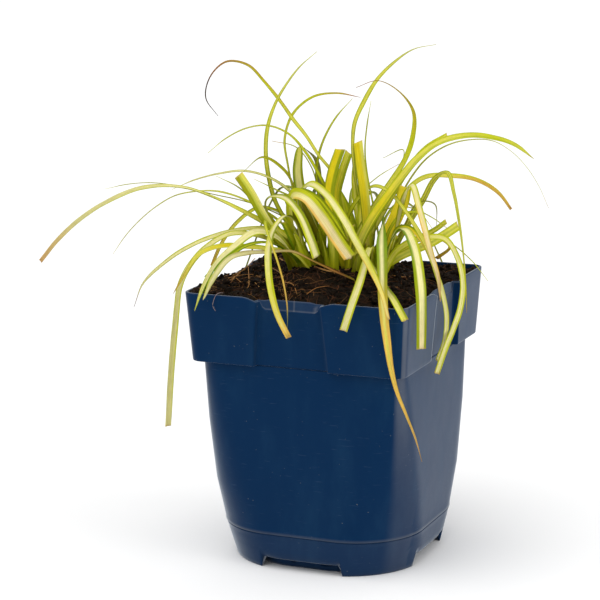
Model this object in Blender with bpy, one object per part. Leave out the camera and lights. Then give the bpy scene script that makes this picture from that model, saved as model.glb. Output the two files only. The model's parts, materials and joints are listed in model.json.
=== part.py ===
"""Variegated Japanese sedge in a square blue nursery pot.

The model stands on the ground plane with the pot's axis on +Z. The pot's front wall faces -Y
and its right wall +X. Pieces: the moulded pot, the compost in it, the crown with its young
leaves, and every grown leaf as a closed blade of its own. All sizes below are in millimetres.
"""

import math

import bmesh
import bpy
import numpy as np
from mathutils import Vector
from mathutils.bvhtree import BVHTree

MM = 0.001

# Pot: overall sizes
POT_HEIGHT = 167.0
RIM_HALF = 70.0
COLLAR_BOTTOM_HALF = 67.2
COLLAR_DROP = 41.5
BODY_TOP_HALF = 63.6
BODY_SHOULDER_HALF = 64.6
BODY_WAIST_HALF = 64.3
MOULD_LINE_HALF = 62.1
FOOT_HALF = 59.0
MOULD_LINE_HEIGHT = 22.1
MOULD_LINE_STEP = 0.4
CORNER_PARTS = 3
WALL = 1.8
RIM_CORNER_RADIUS = 7.0
BODY_TOP_CORNER_RADIUS = 13.0
FOOT_CORNER_RADIUS = 48.0

# Pot: the recess in the middle of each collar wall, with its lip and the tab behind the lip
RECESS_DEPTH = 3.7
RECESS_HALF_TOP = 19.0
RECESS_HALF_BOTTOM = 22.5
RECESS_STEP_RUN = 0.6
RECESS_SHIFTS = (-2.5, 4.0, 2.5, -4.0)
SHOULDER_RUN = 9.0
LIP_DROP = 6.3
SHOULDER_DROP = 2.4
TAB_HALF = 13.0
TAB_DROP = 0.3

# Pot: foot skirt, its four notches, the sunken floor and the drain slots in its side
NOTCH_HALF = 25.5
NOTCH_HEIGHT = 6.8
NOTCH_SLOPE_RUN = 0.7
FLOOR_TOP = 11.0
CHANNEL_TOP = 9.0
PAD_HALF = 50.5
PAD_FLOOR = 2.0
DRAIN_SLOTS = ((-9.0, 2.4), (12.5, 7.0))
SLOT_DEPTH = 8.0

# Compost and the crown of the plant
CLEARANCE = 0.35
COMPOST_AT_RIGHT = 158.6
COMPOST_AT_LEFT = 165.0
COMPOST_IN_DIP = 159.9
COMPOST_SLOPE_START = 20.0
COMPOST_SLOPE_RUN = 60.0
DIP_HALF = 17.0
DIP_RUN = 9.0
DIP_CENTRES = {"x": -2.5, "y": 4.0}
CROWN_CENTRE = (3.0, 5.5)
CROWN_SEMI_AXES = (38.0, 34.0)
CROWN_SEAT = 167.0
CROWN_TOP = 173.5
MOUND_REACH = 66.0

# Viewing station: leaf routes are read as it sees them, with a distance towards it
STATION_AZIMUTH = math.radians(22.18)
STATION_ELEVATION = math.radians(14.83)
STATION_ROLL = -0.0108
STATION_DISTANCE = 1377.6
STATION_FOCAL = 2260.6
STATION_PIVOT = Vector((0.0, 0.0, 86.0))
STATION_PIVOT_SEEN = (337.93, 408.64)
STATION_CENTRE = 300.0

# Leaf blades
BLADE_THICKNESS = 0.9
BLADE_FOLD = 0.2
STATION_SPACING = 13.5
FEWEST_STATIONS = 6
MOST_STATIONS = 19
BASE_LIFTS = (0.7, 2.2, 4.0)
YOUNG_LEAF_LIFTS = (-3.0,)
SHIFT_RUN = 0.22
FIT_MARGIN = 0.35
DEPTH_SHIFTS = (0.0, 1.5, -1.5, 3.0, -3.0, 4.5, -4.5, 6.0, -6.0, 8.0, -8.0, 10.0, -10.0, 12.5, -12.5,
                15.0, -15.0, 18.0, -18.0, 22.0, -22.0)
BASE_SHIFTS = (0.0, 2.0, -2.0, 4.0, -4.0, 6.0, -6.0, 8.5, -8.5, 11.0, -11.0, 14.0, -14.0)

# Grown leaves, from base to tip: name, width stations, facing stations (degrees: 0 shows the
# upper face to the viewing station, 90 its edge, 180 the lower face), and the route as
# (pixel across, pixel down, millimetres towards the station) in the 600 x 600 view.
LEAVES = (
    ("leaf_front_long", (5.5, 7.4, 7.2, 6.4, 6.0, 5.4, 4.4, 2.4, 1.4, 0.6), (165, 60, 8, 6, 6, 6, 8),
     ((378, 272, 4), (381, 247, 8), (383.5, 226, 13), (383.5, 219, 19), (382.5, 226, 28), (382, 243, 48),
      (382.3, 262, 68), (382.5, 281, 85), (383, 300, 94), (384.5, 320, 95.5), (387, 340, 95), (389.7, 360, 95),
      (393, 378, 95), (398, 395, 95), (403, 408, 95), (408, 419, 95), (413, 432, 95), (418, 446, 95),
      (422, 462, 95))),
    ("leaf_front_left", (4.0, 4.6, 4.6, 4.4, 4.0, 3.4), (160, 90, 20, 10, 10),
     ((306, 258, 2), (301, 238, 4), (296, 222, 8), (291, 216, 14), (285, 216, 20), (279, 220, 26),
      (273.5, 230, 33), (270, 241, 41), (268.3, 253, 50), (268.5, 266, 58), (269.5, 280, 65),
      (272.5, 297, 69), (277, 313, 70), (282.5, 326, 70), (289, 338, 70))),
    ("leaf_front_left_thin", (2.8, 2.8, 2.6, 1.8, 1.3, 0.8), (150, 30, 20, 20),
     ((300, 263, 10), (284, 243, 14), (270, 226, 20), (264.5, 220.5, 27), (266, 228, 36), (270, 240, 48),
      (274.5, 253, 57), (279, 266, 64), (283, 281, 70), (285.5, 297, 74), (288, 313, 74), (287.5, 330, 74))),
    ("leaf_right_cut_wide", (5.2, 6.0, 6.4, 6.6, 6.6, 6.2, 5.6), (160, 70, 20, 10, 10, 10),
     ((384, 266, 2), (388, 250, 4), (394, 235, 7), (399, 227.5, 12), (405, 230, 18), (410.3, 238, 25),
      (414.3, 249, 34), (417, 261, 44), (419, 275, 54), (420.5, 291, 62), (421.3, 307, 66),
      (421.3, 328, 67), (421, 349.5, 67))),
    ("leaf_right_hanging", (2.6, 3.0, 3.0, 3.2, 3.4, 3.0), (30, 40, 30, 20),
     ((346, 262, -14), (346, 238, -17), (349.5, 212, -18), (358, 199, -16), (368.5, 187.5, -12),
      (379.5, 187, -5), (389.5, 192.5, 1), (398.5, 202, 6), (407.5, 214.5, 11), (416, 228, 16),
      (423.5, 241, 20), (429.5, 254, 24), (434.5, 268, 27), (439.5, 284, 29), (444, 300, 28),
      (446.3, 315, 27), (446, 331, 28), (442.8, 347, 33), (437, 362, 38))),
    ("leaf_far_right_hanging", (4.6, 4.8, 4.4, 4.2, 4.2, 4.0, 3.6), (30, 40, 30, 20, 20),
     ((384, 262, 14), (396, 252, 12), (408, 244.5, 10), (419, 239.5, 8), (430, 237, 7), (438.5, 236.8, 6),
      (445.5, 239.5, 5), (451, 245, 5), (455.3, 253, 5), (459, 263, 6), (461.7, 274, 7), (462.8, 286, 9),
      (462, 298, 12), (459.5, 310, 16), (455.5, 322, 22), (451, 334, 29), (445.5, 348, 37),
      (440.5, 361, 42), (436.5, 374, 43))),
    ("leaf_centre_hanging", (4.6, 5.6, 5.4, 5.2, 4.8, 4.4, 3.4, 1.6), (150, 40, 10, 10, 15),
     ((302, 248, -14), (298, 222, -12), (300, 198, -8), (305.5, 185, -3), (314, 185.5, 4), (324.5, 193, 11),
      (333, 203.5, 18), (341, 214.5, 26), (348, 226.5, 36), (354.5, 239, 48), (361, 251, 59),
      (367, 262, 71), (373, 273.5, 83), (379, 287, 96), (384, 300, 101), (387, 311, 101), (388.7, 320, 101))),
    ("leaf_broad_pale", (5.4, 6.4, 7.0, 7.6, 7.8, 7.4), (150, 40, 5, 5),
     ((308, 256, -4), (298, 238, -8), (291, 219, -8), (290, 202, -5), (295, 192, 0), (302, 193.5, 5),
      (309, 200.5, 10), (316.5, 209.5, 14), (323.5, 219, 18), (330, 229, 22), (337, 239.5, 26),
      (344, 249.5, 30), (351, 259.5, 34))),
    ("leaf_left_cut_wide", (4.6, 5.6, 6.2, 6.4, 6.4), (20, 15, 10),
     ((297, 262, 0), (287, 249, 1), (277, 237, 2), (268.5, 225, 2), (261, 212.5, 2), (254, 200, 1),
      (247, 187, 0), (241.5, 180, -1), (238, 174.5, -2))),
    ("leaf_left_short_green", (3.0, 4.0, 4.4, 3.8), (30, 20),
     ((302, 264, 14), (297, 251, 12), (292, 239, 10), (287, 229, 8), (283, 221, 6))),
    ("leaf_pale_fold", (5.2, 5.2, 4.8, 3.0, 4.6, 5.4, 5.4), (170, 160, 90, 20, 5, 5),
     ((304, 260, -12), (291, 246, -12), (280, 233, -11), (271, 218, -9), (266, 208, -6), (264.3, 202, -2),
      (268, 197.8, 4), (275, 195.8, 9), (283, 197, 14), (291, 202.5, 19), (298, 211.5, 23),
      (304, 223, 27), (309, 235, 31), (313, 247, 34), (317, 258.5, 37))),
    ("leaf_front_cut_short", (4.2, 4.6, 4.8, 4.6, 4.6), (150, 30, 10, 10),
     ((371, 276, 12), (372, 262, 17), (372.3, 252, 24), (370.8, 247.5, 33), (368.3, 252, 43),
      (365.5, 263, 56), (361.8, 276, 69), (357.3, 290, 80), (351.5, 306, 86), (347.5, 319, 85),
      (343.5, 331, 84))),
    ("leaf_corner_cut_short", (3.6, 4.2, 4.2, 4.2, 4.2), (140, 30, 10, 10),
     ((354, 268, 8), (356, 257, 13), (360.5, 252, 22), (366, 257, 33), (371.5, 266, 46), (377, 275.5, 59),
      (383, 285.5, 71), (388.7, 293, 83), (394.5, 301, 93), (400, 310, 97.5), (405.3, 321, 98))),
    ("leaf_right_short_yellow", (4.8, 6.0, 6.4, 6.2), (15, 10, 10),
     ((380, 262, -2), (384.5, 245, -5), (391, 228, -8), (397.5, 214.5, -11), (402, 203, -14),
      (404.3, 193, -16), (405, 184.5, -18))),
    ("leaf_cream_right", (4.4, 5.4, 5.6, 5.2, 5.2, 4.8, 3.6, 2.0), (150, 40, 10, 10, 15),
     ((388, 262, -12), (394, 240, -9), (400, 214, -6), (405, 194, -3), (410, 184, 1), (414.3, 190, 5),
      (417.8, 203, 9), (421.3, 216, 13), (425, 230, 17), (428.5, 244, 22), (432, 257, 28), (436, 270, 33),
      (439.5, 283, 36), (441, 293, 37), (440.5, 302, 37))),
    ("leaf_right_short_arch", (3.4, 3.6, 3.4, 3.2, 2.6), (140, 50, 30, 30),
     ((386, 258, -6), (391, 243, -3), (396, 230, 1), (401, 225.3, 5), (407.5, 227, 8), (414, 231, 10),
      (420, 238, 12), (425, 246, 13), (429, 254, 14), (432, 262, 14))),
    ("leaf_long_left_arch", (4.6, 5.0, 5.0, 4.8, 4.6, 4.4, 4.2, 3.6), (45, 45, 80, 55, 50, 45),
     ((304, 252, -5), (292, 240, -3), (281, 232, -1), (269, 226, 1), (258, 219.5, 3), (248, 214, 4),
      (238, 209, 5), (228, 204, 6), (218, 199.5, 7), (208, 195, 8), (198, 191, 9), (188, 188.5, 10),
      (176, 186.7, 11), (163, 186, 12), (150, 187, 13), (137, 189.5, 14), (123, 194.5, 15), (110, 200.7, 16),
      (97, 207.8, 17), (84, 216.5, 18), (72, 226.5, 19), (60, 238, 20), (50, 249.5, 21), (40.5, 262, 22))),
    ("leaf_thin_left_arch", (2.6, 2.8, 2.4, 1.8, 1.4, 1.2, 1.0, 0.6), (45, 45, 45),
     ((306, 248, -14), (292, 234, -13), (277, 220, -12), (264, 210.5, -12), (252, 203.5, -13),
      (242, 198.5, -14), (232, 194.5, -15), (222, 192, -16), (211, 191.2, -18), (200, 191.2, -20),
      (190, 192, -22), (180, 194, -24), (170, 198, -26), (160, 204, -28), (150, 211, -30), (140, 220, -32),
      (130, 230.5, -34), (122, 240.5, -36), (113, 254, -38))),
    ("leaf_pale_left_arch", (2.6, 3.0, 3.0, 2.2, 1.8, 1.4, 0.8), (40, 45, 45),
     ((314, 232, -20), (306, 212, -20), (296, 197, -20), (287.5, 189.5, -20), (279, 183.5, -21),
      (270, 178, -22), (260, 174, -23), (250, 171.5, -24), (240, 171, -25), (230, 172, -26),
      (220, 173.5, -27), (210, 175.2, -28), (200, 178.3, -29), (192, 181, -30), (184, 184.8, -31),
      (172, 189.5, -32))),
    ("leaf_hair_left", (1.2, 1.2, 1.0, 0.8, 0.7, 0.6), (45, 45),
     ((312, 244, -24), (296, 228, -25), (277, 214, -27), (258, 205.5, -29), (240, 200, -31),
      (222, 196.2, -33), (205, 192.6, -35), (190, 188.7, -37), (175, 185.4, -39), (160, 183.3, -41),
      (145, 182.7, -43), (130, 184, -45), (117, 186, -47), (105, 189, -49))),
    ("leaf_curled_tip", (3.0, 2.6, 2.4, 2.6, 3.4, 2.8, 2.2, 1.0, 0.8), (30, 30, 40, 40, 40),
     ((352, 256, -18), (350, 236, -18), (346, 217, -18), (342, 202, -19), (340, 189, -20), (336, 178, -22),
      (330, 170, -24), (324, 163, -25), (317, 153, -27), (309, 140, -29), (300, 128.5, -31),
      (290, 115.5, -33), (281, 102.5, -35), (272, 91, -37), (264, 81.5, -39), (257, 74, -41),
      (250, 67, -42), (243, 61.8, -43), (235, 60, -44), (226, 62, -45), (217, 68, -46), (210, 77, -47),
      (206, 86, -47), (205.5, 95, -47), (207.5, 104, -46), (212, 111, -45), (218, 116, -44))),
    ("leaf_upright_left", (3.0, 3.2, 3.2, 3.4, 3.4, 3.0, 2.4, 1.4, 0.6), (25, 25, 30, 35),
     ((308, 250, -24), (298, 235, -24), (288, 223, -24), (280, 211.5, -24), (275, 200, -24),
      (271.5, 189, -24), (269, 177, -25), (267, 165, -26), (266, 153, -27), (266.3, 141, -28),
      (267.5, 129, -29), (270, 118, -30), (274, 107, -31), (279, 97, -32), (285, 86.5, -33),
      (292, 76, -34), (300, 66.5, -35), (309, 57.5, -36), (317, 51.5, -37))),
    ("leaf_thin_top_arch", (3.4, 3.4, 3.2, 2.6, 1.8, 1.4, 1.2, 0.7), (35, 40, 45),
     ((348, 256, -8), (344, 238, -9), (338, 221, -10), (332, 204, -11), (326, 190, -12), (320.5, 178, -13),
      (315, 167.5, -14), (309.5, 158, -15), (303, 149, -16), (296, 140.5, -18), (288, 133.5, -20),
      (279, 128.8, -22), (270, 126, -24), (260, 125, -26), (250, 127, -28), (240, 131, -30),
      (230, 136, -32), (220, 142.5, -34), (214, 147.5, -35), (208, 153, -36))),
    ("leaf_brown_tip_arch", (1.6, 1.4, 1.2, 1.6, 2.0, 2.4, 2.4, 2.0, 1.0), (40, 40, 45),
     ((318, 240, -34), (308, 222, -34), (299, 206, -35), (294, 192, -36), (291, 178, -37), (288, 165, -38),
      (285.5, 153, -39), (284.7, 142, -40), (286, 131.5, -41), (290, 119.5, -42), (296, 110, -43),
      (304, 102, -44), (313, 97, -45), (323, 94.3, -46), (334, 93.2, -47), (344, 94, -48), (352, 95.5, -49),
      (361, 97.5, -50))),
    ("leaf_thin_upright", (2.2, 2.2, 2.0, 1.8, 1.4, 0.8), (25, 30),
     ((336, 250, -26), (329, 229, -27), (322, 207, -29), (317.5, 188, -31), (316, 172, -32),
      (318, 160, -33), (320.5, 149, -34), (324, 139, -35), (329, 129, -36), (335, 119, -37),
      (341, 110.5, -38), (347, 104, -39), (352.5, 98.5, -40))),
    ("leaf_tall_right", (3.6, 3.6, 3.2, 2.6, 3.2, 3.8, 3.6, 2.6, 1.6, 0.7), (30, 40, 55, 30, 30, 35),
     ((372, 254, -22), (368, 234, -24), (363, 213, -26), (358, 192, -28), (354.5, 170, -30), (353, 150, -32),
      (353.3, 136, -33), (355, 123, -34), (359, 111.5, -35), (364.5, 101, -36), (370.5, 90.5, -37),
      (377, 80, -38), (385, 71, -39), (394, 62.5, -40), (404, 55, -41), (414, 49, -42), (424, 45.5, -43),
      (436, 44.5, -44))),
    ("leaf_hooked_tip", (4.0, 4.2, 4.2, 4.0, 3.6, 3.6, 3.0, 1.4, 1.0, 0.8), (35, 30, 30, 30),
     ((352, 256, -4), (355, 243, -5), (361, 230, -6), (367.5, 217, -8), (374.5, 206, -10), (381, 196, -12),
      (388, 186, -14), (394, 177.5, -16), (400, 168.5, -17), (405.5, 159, -18), (409.5, 148.5, -19),
      (412.5, 138, -20), (415, 127, -21), (415, 116.5, -22), (411.5, 107, -23), (405.5, 98, -24),
      (398, 90.5, -25), (390, 85, -26), (382, 81.5, -26), (373.5, 80.3, -27), (366, 81.5, -27),
      (360, 84, -28), (356, 87.5, -28))),
    ("leaf_big_right_arch", (5.4, 6.4, 6.6, 6.4, 6.0, 6.0, 5.6, 4.6, 2.0), (30, 25, 40, 50, 50, 45),
     ((357, 268, 10), (358, 253, 9), (362, 238.5, 8), (368, 226, 7), (375, 215, 6), (382, 204.5, 5),
      (389, 194.8, 4), (396, 185.3, 3), (403, 176.2, 2), (410.5, 167, 2), (418, 158.5, 2), (426, 151, 3),
      (435, 145, 4), (446, 140, 5), (458, 137, 6), (470, 136, 7), (482, 136.2, 8), (494, 138, 9),
      (505, 141, 9), (515, 145, 10), (523, 149, 10), (529, 153, 10), (534, 159, 10))),
    ("leaf_cut_right_arch", (4.0, 4.4, 4.6, 4.4, 4.0, 3.6), (35, 40, 45),
     ((364, 258, -12), (368, 243, -13), (375, 229, -15), (382.5, 214, -17), (390, 200, -18),
      (398, 186.5, -19), (406, 173.5, -20), (413, 162.5, -21), (420, 153.5, -22), (428, 146.8, -23),
      (437.5, 140.3, -24), (448, 134.5, -25))),
    ("leaf_far_right_hair", (2.8, 3.0, 2.8, 2.4, 2.2, 1.4, 0.8, 0.7, 0.6), (40, 45, 45),
     ((378, 256, -18), (384, 238, -20), (392, 217, -22), (401, 196, -24), (411, 178, -26), (421.5, 164, -27),
      (433.5, 153, -28), (447, 145.5, -29), (462, 141, -30), (477, 139.5, -31), (491, 140.5, -32),
      (503, 145.5, -33), (512, 152, -34), (521, 161, -34), (530, 171.5, -35), (538, 184.5, -35),
      (544, 197, -36), (548.5, 208, -36))),
    ("leaf_right_brown_tip", (3.2, 3.6, 3.6, 3.8, 3.8, 3.6, 2.4), (40, 45, 45),
     ((386, 254, -26), (393, 235, -28), (399, 214, -30), (405, 196, -32), (411.5, 184, -34), (419, 179, -36),
      (429, 176.7, -38), (441, 176, -39), (453, 176, -40), (464, 177, -41), (475, 179.7, -42),
      (485, 184, -43), (494, 189.5, -44), (502, 197, -45), (508, 204.5, -46), (511.5, 210, -47))),
    ("leaf_kinked", (3.6, 4.0, 4.0, 3.8, 3.0, 2.4, 2.0, 1.2, 0.8, 0.6), (25, 20, 30, 30),
     ((390, 252, -32), (401, 235, -34), (412, 218, -35), (421, 204, -36), (427, 192.5, -36),
      (433, 182, -36), (438.5, 173.5, -34), (443, 169.5, -31), (447.5, 172.5, -28), (450.5, 181, -24),
      (453.3, 191.5, -20), (455.5, 202, -17), (457.5, 213, -14), (459.5, 224, -11), (461, 235, -8),
      (462.3, 246, -6), (463.7, 258, -4), (465, 275, -2), (466.3, 294, -1), (466.6, 313, -1))),
    ("leaf_left_fold_cream", (4.6, 5.4, 5.6, 5.4, 4.6, 3.6, 3.0, 1.6), (140, 60, 20, 15, 20),
     ((304, 266, 12), (291, 252, 16), (278, 239, 20), (268, 231.5, 23), (260, 231, 26), (252, 234, 28),
      (244, 239, 30), (236, 245.5, 33), (229, 251, 36), (222, 257.5, 39), (216, 264, 42), (210.5, 272, 44),
      (206, 281, 46), (202, 290, 48), (198, 300, 50), (194.5, 311, 50))),
    ("leaf_left_split_green", (2.2, 2.6, 2.6, 2.4, 2.0), (150, 60, 30),
     ((308, 268, 18), (294, 257, 19), (279, 247, 19), (265, 241, 20), (252, 243, 22), (241, 249.5, 24),
      (230.5, 256.5, 26), (220.5, 264, 29), (212, 270.5, 31), (204.5, 277, 33))),
    ("leaf_dry_low", (3.2, 3.0, 2.4, 2.6, 3.2, 3.8, 4.2, 4.2, 3.8), (60, 50, 20, 15),
     ((354, 272, 27), (347, 271, 28), (340, 271.5, 28), (333, 271.5, 28), (326, 269, 27), (320, 265.5, 26),
      (314, 261.5, 25), (307, 257.5, 24), (300, 254, 23), (292, 251.5, 22), (283, 250.8, 22),
      (274, 251.2, 22), (264, 252.6, 23), (250, 253, 27), (239, 254, 32), (229, 259, 38), (221, 266, 42),
      (214, 277, 45), (208.5, 288.5, 48), (203, 300, 50))),
    ("leaf_far_left_hanging", (3.6, 4.0, 4.0, 4.0, 3.8, 3.8, 3.6, 3.4, 3.2), (40, 50, 40, 20, 15),
     ((306, 258, -10), (295, 251, -8), (284, 245.5, -6), (274, 241.5, -4), (265, 238.3, -2), (256, 235.5, 0),
      (248, 233.6, 1), (240, 232.8, 2), (231, 234, 3), (222, 237, 4), (213.5, 242, 5), (205.5, 248.5, 6),
      (198, 256, 7), (191, 264.5, 8), (184.5, 275, 9), (180.3, 286, 9), (178.3, 298, 9), (176.7, 315, 9),
      (174.8, 334, 9), (172.8, 355, 9), (171.3, 375, 9), (169.8, 400, 9), (168.3, 427, 9))),
    ("leaf_left_yellow", (3.8, 4.2, 4.4, 4.4, 4.0, 2.4, 1.4), (60, 50, 40, 20),
     ((310, 262, 6), (298, 256, 8), (287, 252, 10), (277, 250, 12), (268, 249, 13), (256, 248, 14),
      (244, 246.6, 15), (232, 245.8, 16), (221, 246, 17), (211, 247.8, 18), (203, 251.5, 19),
      (196, 257.5, 20), (190, 265.5, 20), (185, 274.5, 21), (180, 284, 21), (173, 294, 21))),
    ("leaf_left_drooping", (3.2, 3.6, 3.6, 3.6, 3.4, 2.8, 1.8, 0.8), (45, 50, 45, 30),
     ((304, 246, -16), (294, 238, -15), (284, 232.5, -14), (273, 229, -13), (262, 228, -12), (251, 228.7, -11),
      (240, 230, -10), (230, 231.8, -9), (220, 234.3, -8), (210, 237.8, -7), (200, 241.5, -6),
      (190, 246, -5), (180, 252, -4), (170, 259, -3), (160, 266.5, -2), (150, 276, -1), (141, 286.5, 0),
      (137, 297, 0), (134, 307, 0))),
    ("leaf_left_ochre", (2.6, 3.0, 3.0, 2.8, 2.6, 2.2), (140, 60, 30, 20),
     ((306, 240, -28), (294, 225, -27), (280, 213, -25), (267, 207.5, -23), (256, 208.5, -21),
      (246.5, 214.5, -19), (237.5, 222, -17), (230, 230, -15), (224, 239, -13), (219.5, 248.5, -12),
      (215.5, 258, -11), (211, 268, -10))),
    ("leaf_upright_pair_left", (4.4, 5.6, 6.2, 6.4, 6.4, 6.0), (20, 10, 10),
     ((344, 262, -2), (338, 243, -6), (333, 223, -10), (329, 203, -14), (329.5, 187, -17), (332.5, 172, -19),
      (336.3, 159, -21), (340.5, 147.5, -23))),
    ("leaf_upright_pair_right", (4.2, 4.8, 5.2, 5.2, 5.0), (20, 15, 15),
     ((356, 256, -12), (349, 236, -16), (341.5, 217, -20), (337, 200, -23), (338.8, 186, -25),
      (341.8, 173, -27), (345.3, 161.5, -29), (349.2, 151, -31))),
    ("leaf_tall_yellow", (4.4, 5.8, 6.2, 6.4, 6.0), (15, 10, 10),
     ((370, 266, -8), (367.5, 244, -10), (366.5, 223, -12), (365.3, 204, -14), (363.3, 188, -16),
      (361, 172, -18), (358.8, 156, -20), (357.2, 140.5, -22))),
    ("leaf_pale_behind_yellow", (3.4, 4.0, 4.2, 4.0, 3.0), (20, 20, 20),
     ((364, 252, -30), (361, 236, -31), (358, 219, -32), (355.5, 201, -33), (354.2, 184, -34),
      (353.8, 170, -35), (354.3, 160, -36))),
    ("leaf_wide_upright_left", (4.6, 5.8, 6.6, 6.8, 6.4, 4.4), (20, 12, 10),
     ((324, 252, -22), (317, 234, -23), (309.5, 215, -24), (302.5, 198, -25), (298.3, 182, -26),
      (297.5, 168, -27), (298.3, 156, -28), (299.6, 146.5, -29))),
    ("leaf_olive_arch", (4.2, 4.8, 5.2, 5.0, 4.0, 2.6, 1.8, 1.4), (160, 140, 50, 45),
     ((326, 256, -14), (318, 240, -16), (310, 222, -17), (302, 204, -18), (295, 188.5, -19),
      (289, 177.5, -20), (283, 169, -21), (277, 162.8, -22), (270, 158.8, -23), (262, 157.3, -24),
      (255, 160, -25), (249, 165, -26), (243.5, 171.5, -27))),
    ("leaf_right_cut_yellow", (4.6, 5.4, 5.8, 5.8), (20, 15, 15),
     ((386, 264, 2), (397, 258.5, 0), (409, 252.5, -3), (421, 247.5, -7), (432, 242.5, -11),
      (442, 236.5, -15), (451, 231, -19), (459.5, 225, -22))),
    ("leaf_right_cut_small", (2.8, 3.4, 3.4, 3.2), (25, 20, 20),
     ((388, 256, -12), (397, 249, -15), (407, 243, -18), (417, 238.5, -21), (427, 234.5, -24),
      (437, 228.5, -26), (447, 221, -28))),
    ("leaf_right_bent_back", (2.2, 2.6, 2.6, 2.4, 2.2), (30, 30, 25),
     ((392, 252, -22), (402, 245, -25), (413, 240, -28), (425, 237.5, -31), (437, 237.5, -34),
      (446, 240, -36), (450, 244.5, -38), (448, 250, -39), (442, 255, -40), (435.5, 259, -41))),
    ("leaf_centre_green", (3.2, 3.4, 3.4, 3.2, 2.8), (150, 30, 20),
     ((316, 250, -20), (307, 230, -19), (300, 208, -15), (301, 190.5, -10), (308.5, 190, -5),
      (317, 197.5, 0), (326, 208, 5), (334, 218.5, 9), (341, 229.5, 12), (347, 240, 14))),
    ("leaf_olive_inner", (4.6, 5.2, 5.2, 4.4), (150, 140),
     ((320, 262, -4), (311, 244, -8), (302.5, 229, -11), (294.5, 216, -13), (288.5, 205, -15),
      (285.5, 197, -16))),
    ("leaf_grey_back", (3.4, 3.8, 3.8, 3.8, 3.2, 1.6), (25, 30, 35),
     ((344, 248, -34), (335, 227, -36), (326.5, 206, -38), (321, 189, -40), (318.8, 174, -42),
      (316.3, 161, -44), (312.3, 150.5, -46), (307.5, 144.5, -48), (304, 147.5, -50))),
)

# Leaves on the far side, by rule: heading from straight away (degrees), reach, rise and width
BACK_LEAVES = ((-50, 112, 30, 4.6), (-29, 98, 40, 5.4), (-12, 118, 36, 4.2), (6, 104, 42, 5.6),
               (23, 118, 36, 4.8), (41, 104, 32, 4.4))
BACK_LEAF_START = 29.0
BACK_LEAF_HANG = 62.0
BACK_LEAF_NAME = "leaf_back_{}"

# Young leaves that grow out of the crown as one piece with it: width, tip width and route
YOUNG_LEAVES = (
    (1.6, 0.9, ((318, 246, -16), (306, 222, -17), (298, 204, -18), (290, 195, -19), (280, 191, -20),
                (270, 187.5, -21), (262, 184, -22), (254, 179, -23))),
    (1.4, 0.8, ((382, 248, -34), (378, 232, -37), (374, 210, -40), (370, 189, -43), (366.5, 171, -46),
                (365, 155, -48), (365.3, 141, -49), (366.7, 127, -50), (368.7, 114, -51), (371, 101, -52))),
)

# Thin leaves joined to the crown as well, threaded between the leaves already in place
THIN_LEAVES = (
    (1.2, 0.8, ((300, 265, -8), (286, 246, -7), (268, 222, -7), (254, 204, -6), (243, 191, -5),
                (235, 185.5, -5), (225, 180, -5), (216, 176, -5))),
    (1.0, 0.7, ((326, 262, -30), (323, 238, -34), (320, 212, -38), (318, 190, -40), (313, 172, -41),
                (308, 160, -42), (300, 149.5, -43), (292, 146, -44), (283, 143.5, -45), (272, 141, -46))),
    (2.2, 1.0, ((381, 266, 0), (385, 245, 0), (389, 231, -2), (394, 222, -4), (400, 216, -6),
                (407, 212.3, -8), (414, 211.3, -10), (421, 214, -12), (427, 221, -13), (432, 228, -14))),
    (0.9, 0.7, ((374, 264, -12), (374, 240, -14), (376, 222, -16), (381, 211.5, -17), (388, 207, -18),
                (396, 206, -19), (404, 206.7, -20), (412, 208.5, -21), (419, 211, -22), (426, 214.2, -23),
                (433, 218, -24), (440, 222, -25), (446, 227, -26), (452, 232, -27))),
    (0.9, 0.6, ((382, 262, -20), (398, 246, -22), (412, 240, -24), (426, 236, -26), (437, 236.5, -27),
                (445, 240, -28), (453, 245.5, -27), (462, 251.5, -25), (470.5, 259.5, -22),
                (479, 269.5, -18), (488, 281, -14))),
    (1.3, 0.8, ((384, 260, -25), (400, 235, -29), (411, 213, -32), (419, 201, -33), (425, 196.5, -34),
                (431, 199, -34), (435.5, 205.5, -34), (438, 213, -34), (438.3, 221, -34), (436.5, 228, -34))),
    (0.8, 0.6, ((376, 262, -26), (382, 232, -28), (386, 200, -30), (396, 180, -31), (403, 162, -32),
                (405, 152, -33), (400, 148.6, -34), (394, 149.5, -35), (388, 153, -36), (383, 158, -37))),
    (0.9, 0.6, ((352, 262, -30), (351, 235, -34), (352, 212, -36), (358, 197.5, -37), (366, 187, -38),
                (373, 180, -39), (382, 174.5, -40), (391, 169.5, -41), (399, 164, -42))),
    (3.8, 3.2, ((357, 262, -24), (354, 235, -27), (349, 215, -29), (345, 203, -30), (341, 191, -31))),
    (4.4, 2.4, ((296, 262, -4), (285, 250, -4), (273, 235, -5), (262, 220, -7))),
    (4.0, 3.6, ((308, 262, 0), (303, 250, 1), (297, 240, 1), (291, 233, 1))),
    (4.4, 3.0, ((322, 263, -12), (322, 240, -16), (325, 218, -20), (329, 200, -24))),
    (4.4, 3.4, ((334, 270, 6), (333, 250, 4), (330, 232, 0), (326, 215, -4))),
    (4.0, 3.0, ((346, 266, -10), (343, 240, -14), (338, 215, -19), (335, 200, -22))),
    (5.0, 4.0, ((364, 264, -14), (362, 240, -18), (361, 215, -22), (362, 198, -26))),
    (3.6, 2.4, ((378, 266, -6), (384, 250, -8), (392, 236, -11), (402, 224, -14))),
    (3.6, 2.4, ((386, 268, -2), (394, 258, -2), (404, 250, -4), (414, 244, -6))),
)

MATERIALS = {
    "pot_plastic": ((0.012, 0.045, 0.13), 0.42),
    "compost": ((0.018, 0.011, 0.007), 0.95),
    "leaf_variegated": ((0.52, 0.58, 0.13), 0.48),
    "leaf_dry": ((0.42, 0.26, 0.08), 0.7),
}
DRY_LEAVES = ("leaf_dry_low", "leaf_left_ochre")


def clear_scene():
    """Start from an empty scene."""
    for obj in list(bpy.data.objects):
        bpy.data.objects.remove(obj, do_unlink=True)


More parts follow.
